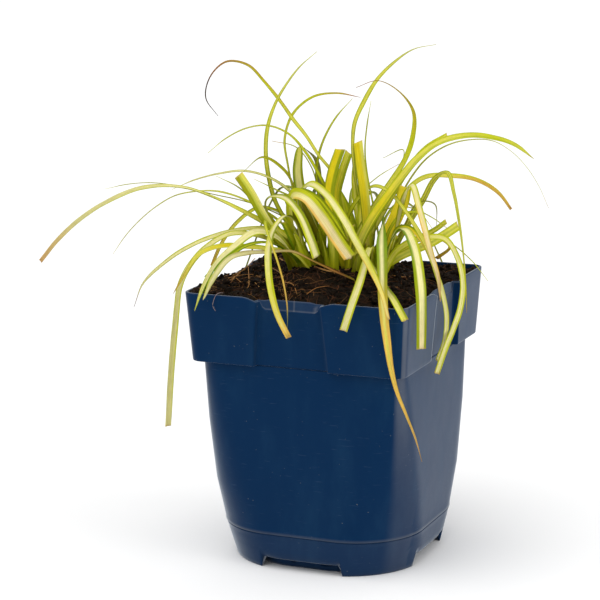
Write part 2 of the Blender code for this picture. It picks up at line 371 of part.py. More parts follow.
def make_material(name):
    """Principled finish for one of the part's materials."""
    colour, roughness = MATERIALS[name]
    material = bpy.data.materials.new(name)
    material.use_nodes = True
    shader = material.node_tree.nodes["Principled BSDF"]
    shader.inputs["Base Color"].default_value = (*colour, 1.0)
    shader.inputs["Roughness"].default_value = roughness
    shader.inputs["Metallic"].default_value = 0.0
    return material


def make_object(name, points, faces, material):
    """Mesh object from points in millimetres."""
    mesh = bpy.data.meshes.new(name)
    mesh.from_pydata([tuple(c * MM for c in point) for point in points], [], faces)
    mesh.validate()
    obj = bpy.data.objects.new(name, mesh)
    obj.data.materials.append(material)
    bpy.context.scene.collection.objects.link(obj)
    return obj


# Pot outline: one rounded square, with the collar's recesses, as a closed ring of points

def side_stations(half, radius, recess_half, recess_centre, shoulder):
    """Distances along one wall, from its first corner to just before the next one."""
    flat = half - radius
    edge = recess_half + RECESS_STEP_RUN
    features = [-shoulder, -edge, -recess_half, -TAB_HALF, TAB_HALF, recess_half, edge, shoulder]
    features = [recess_centre + value for value in features]
    corner = flat + radius * math.sin(math.pi / 4)

    def arc(limit):
        """Angles round one corner beyond the wall's last feature."""
        first = 0.0
        if limit > flat:
            first = math.asin(min(1.0, (limit - flat) / radius)) + 0.06
        angles = [first + (math.pi / 4 - first) * part / CORNER_PARTS for part in range(CORNER_PARTS)]
        return [flat + radius * math.sin(angle) for angle in angles]

    low = [-s for s in reversed(arc(abs(features[0])))]
    high = arc(features[-1])
    return [-corner] + low + features + high


def wall_offset(s, half, radius):
    """Distance of a wall from the axis at s along it, with the corner's rounding."""
    beyond = max(0.0, abs(s) - (half - radius))
    return half - radius + math.sqrt(max(0.0, radius * radius - beyond * beyond))


def outline(half, radius, z, recess=0.0, recess_half=RECESS_HALF_TOP, shoulder=SHOULDER_RUN, heights=None):
    """Closed ring of points at height z; heights may lower or raise single stations."""
    ring = []
    for side, shift in enumerate(RECESS_SHIFTS):
        scale = min(1.0, (half - radius) / 30.0) if radius > 20 else 1.0
        stations = side_stations(half, radius, recess_half, shift * scale, recess_half + shoulder)
        for index, s in enumerate(stations):
            depth = recess if CORNER_PARTS + 3 <= index <= CORNER_PARTS + 6 else 0.0
            out = wall_offset(s, half, radius) - depth
            x, y = s, -out
            turn = side * math.pi / 2
            cos, sin = math.cos(turn), math.sin(turn)
            level = z + (heights[index] if heights else 0.0)
            ring.append((x * cos - y * sin, x * sin + y * cos, level))
    return ring


def body_profile(z):
    """Half width and corner radius of the pot's outer wall at height z below the collar."""
    top = POT_HEIGHT - COLLAR_DROP
    heights = (0.0, MOULD_LINE_HEIGHT, 0.4 * top, 0.7 * top, top)
    halves = (FOOT_HALF, MOULD_LINE_HALF, BODY_WAIST_HALF, BODY_SHOULDER_HALF, BODY_TOP_HALF)
    half = float(np.interp(z, heights, halves))
    radius = float(np.interp(z, (0.0, top), (FOOT_CORNER_RADIUS, BODY_TOP_CORNER_RADIUS)))
    return half, radius


def loft(rings, cap_first, cap_last):
    """Quads between rings of equal count, with the first and last ring filled if asked."""
    count = len(rings[0])
    points = [point for ring in rings for point in ring]
    faces = []
    for level in range(len(rings) - 1):
        for i in range(count):
            j = (i + 1) % count
            a, b = level * count, (level + 1) * count
            faces.append((a + i, a + j, b + j, b + i))
    if cap_first:
        faces.append(tuple(reversed(range(count))))
    if cap_last:
        last = (len(rings) - 1) * count
        faces.append(tuple(range(last, last + count)))
    return points, faces


def inner_outline(half, radius, z, recess=0.0, recess_half=RECESS_HALF_TOP, gap=0.0, heights=None):
    """Ring on the wall's inner side, or inside it by gap."""
    inset = WALL + gap
    return outline(half - inset, max(1.5, radius - inset), z, recess, recess_half + inset,
                   SHOULDER_RUN - inset, heights)


def body_ring(z, gap=None):
    """Ring of the body wall below the collar: outer side, or inner side with a gap."""
    half, radius = body_profile(z)
    if gap is None:
        return outline(half, radius, z)
    return inner_outline(half, radius, z, gap=gap)


def rim_heights(lip, tab):
    """Level of each station of a wall along the rim, from the rim's full height."""
    drop = -LIP_DROP if lip else 0.0
    edge = -SHOULDER_DROP if lip else 0.0
    tab_level = -TAB_DROP if tab else drop
    corner = [0.0] * CORNER_PARTS
    return [0.0] + corner + [0.0, edge, drop, tab_level, tab_level, drop, edge, 0.0] + corner


def notch_heights():
    """Level of each station of a wall along the foot, raised over the notch."""
    corner = [0.0] * CORNER_PARTS
    return [0.0] + corner + [0.0, 0.0] + [NOTCH_HEIGHT] * 4 + [0.0, 0.0] + corner


def foot_ring(half, z, heights=None):
    """Ring of the foot, whose stations carry the notch's edges."""
    return outline(half, FOOT_CORNER_RADIUS - (FOOT_HALF - half), z, recess_half=NOTCH_HALF,
                   shoulder=2.5, heights=heights)


def build_pot(material):
    """Moulded pot with collar, recesses, foot skirt, notches and sunken floor."""
    collar_z = POT_HEIGHT - COLLAR_DROP
    rings = [foot_ring(FOOT_HALF, 0.0, notch_heights())]
    rings.append(foot_ring(body_profile(NOTCH_HEIGHT)[0], NOTCH_HEIGHT + 1.2))
    half, radius = body_profile(MOULD_LINE_HEIGHT)
    rings.append(outline(half - MOULD_LINE_STEP, radius, MOULD_LINE_HEIGHT - 0.3))
    rings.append(outline(half, radius, MOULD_LINE_HEIGHT + 0.3))
    for z in (0.4 * collar_z, 0.7 * collar_z, collar_z):
        rings.append(body_ring(z))
    collar_radius = RIM_CORNER_RADIUS
    rings.append(outline(COLLAR_BOTTOM_HALF - 0.6, collar_radius, collar_z + 0.3, RECESS_DEPTH,
                         RECESS_HALF_BOTTOM))
    rings.append(outline(COLLAR_BOTTOM_HALF, collar_radius, collar_z + 1.4, RECESS_DEPTH, RECESS_HALF_BOTTOM))
    rings.append(outline(RIM_HALF, collar_radius, POT_HEIGHT, RECESS_DEPTH, RECESS_HALF_TOP,
                         heights=rim_heights(True, False)))
    rings.append(outline(RIM_HALF - 0.8, collar_radius - 0.8, POT_HEIGHT, RECESS_DEPTH, RECESS_HALF_TOP + 0.8,
                         SHOULDER_RUN - 0.8, rim_heights(True, False)))
    rings.append(outline(RIM_HALF - 1.0, collar_radius - 1.0, POT_HEIGHT, RECESS_DEPTH, RECESS_HALF_TOP + 1.0,
                         SHOULDER_RUN - 1.0, rim_heights(True, True)))
    rings.append(inner_outline(RIM_HALF, collar_radius, POT_HEIGHT, RECESS_DEPTH, RECESS_HALF_TOP,
                               heights=rim_heights(True, True)))
    rings.append(inner_outline(COLLAR_BOTTOM_HALF, collar_radius, collar_z + WALL + 1.0, RECESS_DEPTH - 0.8,
                               RECESS_HALF_BOTTOM))
    rings.append(body_ring(collar_z - 0.4, 0.0))
    for z in (0.7 * collar_z, 0.4 * collar_z, MOULD_LINE_HEIGHT, FLOOR_TOP):
        rings.append(body_ring(z, 0.0))
    pad_radius = FOOT_CORNER_RADIUS - (FOOT_HALF - PAD_HALF)
    rings.append(outline(PAD_HALF - WALL, pad_radius - WALL, FLOOR_TOP))
    rings.append(outline(PAD_HALF - WALL - 0.4, pad_radius - WALL - 0.4, PAD_FLOOR))
    inner_points, inner_faces = loft(rings, False, True)

    under = [outline(PAD_HALF - 0.4, pad_radius - 0.4, 0.0), outline(PAD_HALF, pad_radius, CHANNEL_TOP)]
    skirt_half = FOOT_HALF - WALL
    under.append(foot_ring(skirt_half + 0.4, CHANNEL_TOP))
    under.append(foot_ring(skirt_half, 0.0, notch_heights()))
    under_points, under_faces = loft(under, True, False)
    offset = len(inner_points)
    count = len(rings[0])
    faces = inner_faces + [tuple(index + offset for index in face) for face in under_faces]
    last = offset + 3 * count
    for i in range(count):
        j = (i + 1) % count
        faces.append((last + i, last + j, j, i))
    pot = make_object("pot", inner_points + under_points, faces, material)
    cut_drain_slots(pot)
    return pot


def cut_drain_slots(pot):
    """Open the upright slots in the side of the sunken floor pad."""
    cutter_mesh = bpy.data.meshes.new("drain_slot_cutter")
    cutter_shape = bmesh.new()
    for side in range(4):
        turn = side * math.pi / 2
        for across, width in DRAIN_SLOTS:
            made = bmesh.ops.create_cube(cutter_shape, size=1.0)["verts"]
            for vert in made:
                x = across + vert.co.x * width
                y = -(PAD_HALF - WALL / 2) + vert.co.y * SLOT_DEPTH * 0.75
                z = 3.0 + (vert.co.z + 0.5) * 4.5
                cos, sin = math.cos(turn), math.sin(turn)
                vert.co = Vector((x * cos - y * sin, x * sin + y * cos, z)) * MM
    cutter_shape.to_mesh(cutter_mesh)
    cutter_shape.free()
    cutter = bpy.data.objects.new("drain_slot_cutter", cutter_mesh)
    cutter.hide_render = True
    cutter.display_type = "WIRE"
    bpy.context.scene.collection.objects.link(cutter)
    modifier = pot.modifiers.new("drain_slots", "BOOLEAN")
    modifier.operation = "DIFFERENCE"
    modifier.solver = "EXACT"
    modifier.object = cutter


def ease(value):
    """Smooth step from nought to one."""
    value = min(1.0, max(0.0, value))
    return value * value * (3 - 2 * value)


def wall_level(x, y):
    """Level of the compost against the wall: high on the left, low on the right and in the rim's dips."""
    left = ease((COMPOST_SLOPE_START - x) / COMPOST_SLOPE_RUN)
    level = COMPOST_AT_RIGHT + (COMPOST_AT_LEFT - COMPOST_AT_RIGHT) * left
    along = abs(y - DIP_CENTRES["y"]) if abs(x) > abs(y) else abs(x - DIP_CENTRES["x"])
    panel = ease((along - DIP_HALF) / DIP_RUN)
    low = min(level, COMPOST_IN_DIP)
    return low + (level - low) * panel


def compost_height(x, y, at_wall):
    """Level of the compost, mounded up from the wall to the crown."""
    away = math.hypot(x - CROWN_CENTRE[0], y - CROWN_CENTRE[1])
    blend = ease((away - CROWN_SEMI_AXES[0]) / (MOUND_REACH - CROWN_SEMI_AXES[0]))
    return CROWN_SEAT + (at_wall - CROWN_SEAT) * blend


def build_compost(material):
    """Compost filling the pot, clear of its walls by a hair."""
    collar_z = POT_HEIGHT - COLLAR_DROP
    pad_radius = FOOT_CORNER_RADIUS - (FOOT_HALF - PAD_HALF)
    inset = WALL + CLEARANCE
    rings = [outline(PAD_HALF - inset - 0.4, pad_radius - inset - 0.4, PAD_FLOOR + CLEARANCE)]
    rings.append(outline(PAD_HALF - inset, pad_radius - inset, FLOOR_TOP + CLEARANCE))
    for z in (FLOOR_TOP + CLEARANCE, MOULD_LINE_HEIGHT, 0.4 * collar_z, 0.7 * collar_z, collar_z - 0.4):
        rings.append(body_ring(z, 2 * CLEARANCE))
    rings.append(inner_outline(COLLAR_BOTTOM_HALF, RIM_CORNER_RADIUS, collar_z + WALL + 2.6,
                               RECESS_DEPTH, RECESS_HALF_BOTTOM + 2.0, 2 * CLEARANCE))
    rim = inner_outline(RIM_HALF - 0.4, RIM_CORNER_RADIUS, 0.0, RECESS_DEPTH, RECESS_HALF_TOP + 1.0, CLEARANCE)
    rim = [(x, y, wall_level(x, y)) for x, y, _ in rim]
    rings.append(rim)
    for scale in (0.86, 0.7, 0.5):
        ring = []
        for x, y, at_wall in rim:
            px = CROWN_CENTRE[0] + (x - CROWN_CENTRE[0]) * scale
            py = CROWN_CENTRE[1] + (y - CROWN_CENTRE[1]) * scale
            ring.append((px, py, compost_height(px, py, at_wall)))
        rings.append(ring)
    points, faces = loft(rings, True, True)
    return make_object("compost", points, faces, material)


def crown_height(x, y):
    """Top of the crown's low dome over a point."""
    a = (x - CROWN_CENTRE[0]) / CROWN_SEMI_AXES[0]
    b = (y - CROWN_CENTRE[1]) / CROWN_SEMI_AXES[1]
    rise = max(0.0, 1.0 - a * a - b * b)
    return CROWN_SEAT + CLEARANCE + 1.2 + (CROWN_TOP - CROWN_SEAT - 1.6) * math.sqrt(rise)


def crown_mesh():
    """Points and faces of the crown's dome."""
    around = 20
    rings = []
    for level, scale in ((0, 1.0), (1, 1.0), (1, 0.86), (1, 0.6), (1, 0.3)):
        ring = []
        for i in range(around):
            angle = 2 * math.pi * i / around
            x = CROWN_CENTRE[0] + CROWN_SEMI_AXES[0] * scale * math.cos(angle)
            y = CROWN_CENTRE[1] + CROWN_SEMI_AXES[1] * scale * math.sin(angle)
            ring.append((x, y, crown_height(x, y) if level else CROWN_SEAT + CLEARANCE))
        rings.append(ring)
    return loft(rings, True, True)


# Viewing station: where a point of its 600 x 600 view lies in space

def station_axes():
    """Place and axes of the viewing station, turned so that it sees the pivot where it should."""
    back = Vector((math.sin(STATION_AZIMUTH) * math.cos(STATION_ELEVATION),
                   -math.cos(STATION_AZIMUTH) * math.cos(STATION_ELEVATION),
                   math.sin(STATION_ELEVATION)))
    place = STATION_PIVOT + back * STATION_DISTANCE
    across_seen = (STATION_PIVOT_SEEN[0] - STATION_CENTRE) / STATION_FOCAL
    up_seen = (STATION_CENTRE - STATION_PIVOT_SEEN[1]) / STATION_FOCAL
    cos, sin = math.cos(STATION_ROLL), math.sin(STATION_ROLL)
    across_goal, up_goal = cos * across_seen - sin * up_seen, sin * across_seen + cos * up_seen
    yaw = math.atan2(-back.x, -back.y)
    pitch = math.asin(-back.z)
    for _ in range(30):
        forward = Vector((math.sin(yaw) * math.cos(pitch), math.cos(yaw) * math.cos(pitch), math.sin(pitch)))
        right = forward.cross(Vector((0, 0, 1))).normalized()
        up = right.cross(forward)
        depth = -back.dot(forward)
        yaw += (-back.dot(right) / depth - across_goal) / math.cos(pitch)
        pitch += -back.dot(up) / depth - up_goal
    return place, forward, right * cos + up * sin, up * cos - right * sin


PLACE, FORWARD, RIGHT, UP = station_axes()
TOWARD = Vector((math.sin(STATION_AZIMUTH), -math.cos(STATION_AZIMUTH), 0.0))


def seen_point(across, down, toward):
    """Point that shows at (across, down) and lies toward millimetres nearer than the pot's axis."""
    ray = (FORWARD + RIGHT * ((across - STATION_CENTRE) / STATION_FOCAL)
           + UP * ((STATION_CENTRE - down) / STATION_FOCAL))
    distance = (toward - PLACE.dot(TOWARD)) / ray.dot(TOWARD)
    return PLACE + ray * distance


def smooth_curve(points, count):
    """Even stations on a smooth curve through the route's points."""
    route = np.array([tuple(p) for p in points])
    padded = np.vstack([2 * route[0] - route[1], route, 2 * route[-1] - route[-2]])
    fine = []
    for i in range(1, len(padded) - 2):
        p0, p1, p2, p3 = padded[i - 1:i + 3]
        for t in np.linspace(0.0, 1.0, 9)[:-1]:
            fine.append(0.5 * (2 * p1 + (p2 - p0) * t + (2 * p0 - 5 * p1 + 4 * p2 - p3) * t * t
                               + (3 * p1 - p0 - 3 * p2 + p3) * t ** 3))
    fine.append(padded[-2])
    fine = np.array(fine)
    steps = np.linalg.norm(np.diff(fine, axis=0), axis=1)
    run = np.concatenate([[0.0], np.cumsum(steps)])
    wanted = np.linspace(0.0, run[-1], count)
    return np.stack([np.interp(wanted, run, fine[:, axis]) for axis in range(3)], axis=1), run[-1]


def spread(values, count):
    """Evenly placed stations of a short list of values."""
    return np.interp(np.linspace(0, 1, count), np.linspace(0, 1, len(values)), values)


def leaf_curve(points):
    """Stations of a leaf and its length."""
    _, length = smooth_curve(points, 4)
    count = int(min(MOST_STATIONS, max(FEWEST_STATIONS, round(length / STATION_SPACING))))
    return smooth_curve(points, count)[0]


def blade(curve, widths, facings, grow=0.0):
    """Closed folded blade along a curve: points and faces."""
    count = len(curve)
    width_at = spread(widths, count)
    facing_at = np.radians(spread(facings, count))
    tangents = np.gradient(curve, axis=0)
    tangents /= np.linalg.norm(tangents, axis=1)[:, None]
    heading_left = curve[-1] @ np.array(RIGHT) < curve[0] @ np.array(RIGHT)
    toward = -np.array(FORWARD)
    rings = []
    previous = None
    for place, tangent, width, facing in zip(curve, tangents, width_at, facing_at):
        flat = tangent - toward * (tangent @ toward)
        if np.linalg.norm(flat) < 0.15 and previous is not None:
            side = previous
        else:
            side = np.cross(flat, toward)
            side /= np.linalg.norm(side)
            if heading_left:
                side = -side
            side = -side
            if previous is not None and side @ previous < -0.4:
                side = previous
        previous = side
        normal = math.sin(facing) * side + math.cos(facing) * toward
        normal -= tangent * (normal @ tangent)
        normal /= np.linalg.norm(normal)
        span = np.cross(tangent, normal)
        half = width / 2 + grow
        fold = BLADE_FOLD * width
        thick = min(BLADE_THICKNESS, 0.35 + 0.3 * width) / 2 + grow
        rings.append([tuple(place - span * half + normal * fold / 2), tuple(place - normal * (fold / 2 - thick)),
                      tuple(place + span * half + normal * fold / 2), tuple(place - normal * (fold / 2 + thick))])
    points, quads = loft(rings, False, False)
    last = len(points) - 4
    faces = [(0, 3, 1), (1, 3, 2), (last, last + 1, last + 3), (last + 1, last + 2, last + 3)]
    for a, b, c, d in quads:
        if (a % 4) in (0, 2):
            faces += [(a, b, c), (a, c, d)]
        else:
            faces += [(a, b, d), (b, c, d)]
    return points, faces


def set_on_crown(points, lift):
    """Route whose first point stands just clear of the crown, or in it with a negative lift."""
    first = points[0].copy()
    first.z = crown_height(first.x, first.y) + lift
    return [first] + points[1:]


def shifted_route(route, shift, base_shift):
    """Route of a leaf, moved along the line of sight beyond its base."""
    spans = [0.0]
    for a, b in zip(route, route[1:]):
        spans.append(spans[-1] + math.hypot(b[0] - a[0], b[1] - a[1]))
    points = []
    for (across, down, toward), span in zip(route, spans):
        run = min(1.0, span / spans[-1] / SHIFT_RUN)
        moved = toward + shift * run * run * (3 - 2 * run) + base_shift * (1 - run)
        points.append(seen_point(across, down, moved))
    return points


def tree_of(points, faces):
    """Search tree over a mesh in millimetres."""
    return BVHTree.FromPolygons([Vector(p) for p in points], faces, all_triangles=False, epsilon=0.0)


class Clearing:
    """Everything placed so far, which each new leaf has to clear."""

    def __init__(self):
        self.trees = []

    def add(self, points, faces):
        """Remember a placed piece."""
        self.trees.append(tree_of(points, faces))
        return self.trees[-1]

    def leave_out(self, tree):
        """Let what comes next reach into a piece."""
        self.trees.remove(tree)

    def clashes(self, points, faces):
        """Number of faces of placed pieces that a new piece cuts."""
        tree = tree_of(points, faces)
        return sum(len(tree.overlap(other)) for other in self.trees)


def place_leaf(clearing, name, widths, facings, route, lifts=BASE_LIFTS):
    """Blade of a leaf, slid along the line of sight until it clears what is there."""
    best = None
    trials = [(abs(shift) + abs(base_shift) + 2 * lift, shift, base_shift, lift)
              for shift in DEPTH_SHIFTS for base_shift in BASE_SHIFTS for lift in lifts]
    for _, shift, base_shift, lift in sorted(trials):
        curve = leaf_curve(set_on_crown(shifted_route(route, shift, base_shift), lift))
        clashes = clearing.clashes(*blade(curve, widths, facings, FIT_MARGIN))
        if best is None or clashes < best[0]:
            best = (clashes, curve)
        if not clashes:
            break
    if best[0]:
        print("no clear place for", name, best[0])
    points, faces = blade(best[1], widths, facings)
    clearing.add(points, faces)
    return points, faces


def back_leaf_route(heading, reach, rise):
    """Arching route on the far side of the plant, in space."""
    away = -TOWARD
    across = Vector((math.cos(STATION_AZIMUTH), math.sin(STATION_AZIMUTH), 0.0))
    angle = math.radians(heading)
    direction = away * math.cos(angle) + across * math.sin(angle)
    start = Vector((*CROWN_CENTRE, 0.0)) + direction * BACK_LEAF_START
    points = []
    for step in range(9):
        t = step / 8
        level = CROWN_TOP + rise * math.sin(math.pi * min(1.0, t * 1.15) ** 0.8)
        level -= BACK_LEAF_HANG * max(0.0, t - 0.45) ** 1.3
        points.append(start + direction * reach * 0.8 * t ** 1.2 + Vector((0, 0, level)))
    return points


def place_back_leaf(clearing, index, heading, reach, rise, width):
    """One far-side leaf, turned a little at a time until it clears its neighbours."""
    widths = (width * 0.7, width, width, width * 0.8, width * 0.3)
    best = None
    for lift in (0.0, 3.0, -3.0, 6.0, 9.0, 12.0):
        for turn in (0.0, 2.0, -2.0, 4.0, -4.0, 6.0, -6.0, 9.0, -9.0, 12.0, -12.0):
            curve = leaf_curve(set_on_crown(back_leaf_route(heading + turn, reach, rise + lift), BASE_LIFTS[0]))
            clashes = clearing.clashes(*blade(curve, widths, (60, 80, 100), FIT_MARGIN))
            if best is None or clashes < best[0]:
                best = (clashes, curve)
            if not clashes:
                break
        if not best[0]:
            break
    if best[0]:
        print("no clear place for back leaf", index, best[0])
    points, faces = blade(best[1], widths, (60, 80, 100))
    clearing.add(points, faces)
    return points, faces


def world_mesh(obj):
    """Evaluated points in millimetres and faces of an object."""
    evaluated = obj.evaluated_get(bpy.context.evaluated_depsgraph_get())
    mesh = evaluated.to_mesh()
    points = [tuple(v.co / MM) for v in mesh.vertices]
    faces = [tuple(p.vertices) for p in mesh.polygons]
    evaluated.to_mesh_clear()
    return points, faces


def build_crown(material, young):
    """Crown dome with its young leaves joined to it."""
    crown = make_object("crown", *crown_mesh(), material)
    for index, (points, faces) in enumerate(young):
        sprout = make_object(f"young_leaf_cutter_{index}", points, faces, material)
        sprout.hide_render = True
        sprout.display_type = "WIRE"
        modifier = crown.modifiers.new(f"young_leaf_{index}", "BOOLEAN")
        modifier.operation = "UNION"
        modifier.solver = "EXACT"
        modifier.object = sprout
    return crown


def main():
    """Build every piece."""
    clear_scene()
    materials = {name: make_material(name) for name in MATERIALS}
    pot = build_pot(materials["pot_plastic"])
    compost = build_compost(materials["compost"])
    bpy.context.view_layer.update()
    clearing = Clearing()
    clearing.add(*world_mesh(pot))
    clearing.add(*world_mesh(compost))
    young = []
    for width, tip, route in YOUNG_LEAVES:
        young.append(place_leaf(clearing, "young leaf", (width, width, tip), (30, 30), route, YOUNG_LEAF_LIFTS))
    crown_tree = clearing.add(*crown_mesh())
    for name, widths, facings, route in LEAVES:
        points, faces = place_leaf(clearing, name, widths, facings, route)
        finish = "leaf_dry" if name in DRY_LEAVES else "leaf_variegated"
        make_object(name, points, faces, materials[finish])
    for index, (heading, reach, rise, width) in enumerate(BACK_LEAVES, 1):
        points, faces = place_back_leaf(clearing, index, heading, reach, rise, width)
        make_object(BACK_LEAF_NAME.format(index), points, faces, materials["leaf_variegated"])
    clearing.leave_out(crown_tree)
    for width, tip, route in THIN_LEAVES:
        young.append(place_leaf(clearing, "thin leaf", (width, width, tip), (30, 30), route, YOUNG_LEAF_LIFTS))
    build_crown(materials["leaf_variegated"], young)


main()
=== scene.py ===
"""Dressing of a potted japanese sedge: leaf blades, crown, compost, pot and studio."""

import itertools
import json
import logging
import math
from dataclasses import dataclass, field
from enum import Enum

import bpy
import numpy as np
from mathutils import Matrix, Vector, noise

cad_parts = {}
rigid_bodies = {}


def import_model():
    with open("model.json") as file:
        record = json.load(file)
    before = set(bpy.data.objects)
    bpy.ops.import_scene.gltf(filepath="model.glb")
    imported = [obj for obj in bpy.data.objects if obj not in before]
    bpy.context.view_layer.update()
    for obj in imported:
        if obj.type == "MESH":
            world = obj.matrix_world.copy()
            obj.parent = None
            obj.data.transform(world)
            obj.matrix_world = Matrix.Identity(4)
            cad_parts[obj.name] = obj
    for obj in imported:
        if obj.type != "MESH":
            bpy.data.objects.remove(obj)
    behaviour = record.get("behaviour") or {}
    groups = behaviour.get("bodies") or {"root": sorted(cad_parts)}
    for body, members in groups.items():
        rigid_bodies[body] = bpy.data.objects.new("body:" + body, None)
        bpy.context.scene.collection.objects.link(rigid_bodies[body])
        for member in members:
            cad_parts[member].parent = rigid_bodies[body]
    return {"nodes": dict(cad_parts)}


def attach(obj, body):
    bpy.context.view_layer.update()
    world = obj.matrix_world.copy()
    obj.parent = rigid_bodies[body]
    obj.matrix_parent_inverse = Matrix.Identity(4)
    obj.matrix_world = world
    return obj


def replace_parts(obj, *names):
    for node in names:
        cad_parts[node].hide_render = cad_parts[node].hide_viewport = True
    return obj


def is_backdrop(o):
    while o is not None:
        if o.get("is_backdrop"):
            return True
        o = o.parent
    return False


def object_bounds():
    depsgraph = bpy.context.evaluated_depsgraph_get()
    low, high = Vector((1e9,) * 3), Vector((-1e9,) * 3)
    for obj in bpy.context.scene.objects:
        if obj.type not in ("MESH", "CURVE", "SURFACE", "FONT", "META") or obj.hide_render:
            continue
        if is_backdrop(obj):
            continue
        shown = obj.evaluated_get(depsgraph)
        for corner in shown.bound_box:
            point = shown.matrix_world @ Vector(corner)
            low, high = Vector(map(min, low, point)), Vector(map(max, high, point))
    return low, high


for stray in list(bpy.data.objects):
    bpy.data.objects.remove(stray)
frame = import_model()
CAD_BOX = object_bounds()

LOG = logging.getLogger("sedge")
Array = np.ndarray
Socket = bpy.types.NodeSocket
MM = 0.001


class Tint(Enum):
    """Named colours: the letter that stands for each in a look, and display values from 0 to 255."""

    CREAM = ("C", 230, 223, 160)
    WARM_CREAM = ("W", 232, 214, 132)
    PEACH = ("P", 232, 216, 162)
    PALE_YELLOW = ("y", 216, 211, 88)
    YELLOW = ("Y", 216, 198, 34)
    LIME = ("L", 190, 194, 24)
    GREEN = ("G", 146, 156, 12)
    DEEP_GREEN = ("D", 120, 150, 8)
    OLIVE = ("O", 150, 148, 18)
    DARK_OLIVE = ("d", 110, 108, 14)
    GREY_OLIVE = ("g", 128, 128, 70)
    OCHRE = ("H", 200, 164, 62)
    ORANGE = ("R", 229, 188, 88)
    TAN = ("T", 196, 158, 98)
    BROWN = ("B", 112, 66, 28)
    DARK_BROWN = ("K", 58, 34, 20)
    STRAW = ("s", 206, 200, 136)
    RUST = ("r", 150, 84, 34)
    BRIGHT_GREEN = ("b", 124, 158, 18)
    GOLD = ("A", 222, 204, 26)
    COPPER = ("U", 176, 118, 62)
    PALE_BLUE = ("p", 132, 150, 172)

    def linear(self) -> Array:
        """Scene-linear red, green and blue."""
        value = np.array(self.value[1:]) / 255.0
        return np.where(value <= 0.04045, value / 12.92, ((value + 0.055) / 1.055) ** 2.4)


LETTERS = {tint.value[0]: tint for tint in Tint}


class Tip(Enum):
    """How a leaf ends."""

    POINT = "point"
    HAIR = "hair"
    CUT = "cut"
    TORN = "torn"
    ROUND = "round"


class Drop(Enum):
    """How a ring round the pot falls or rises along its sides."""

    LEVEL = "level"
    RIM = "dipped rim"
    TAB = "inner side of the rim, with its tabs"
    FOOT = "raised over the foot notches"


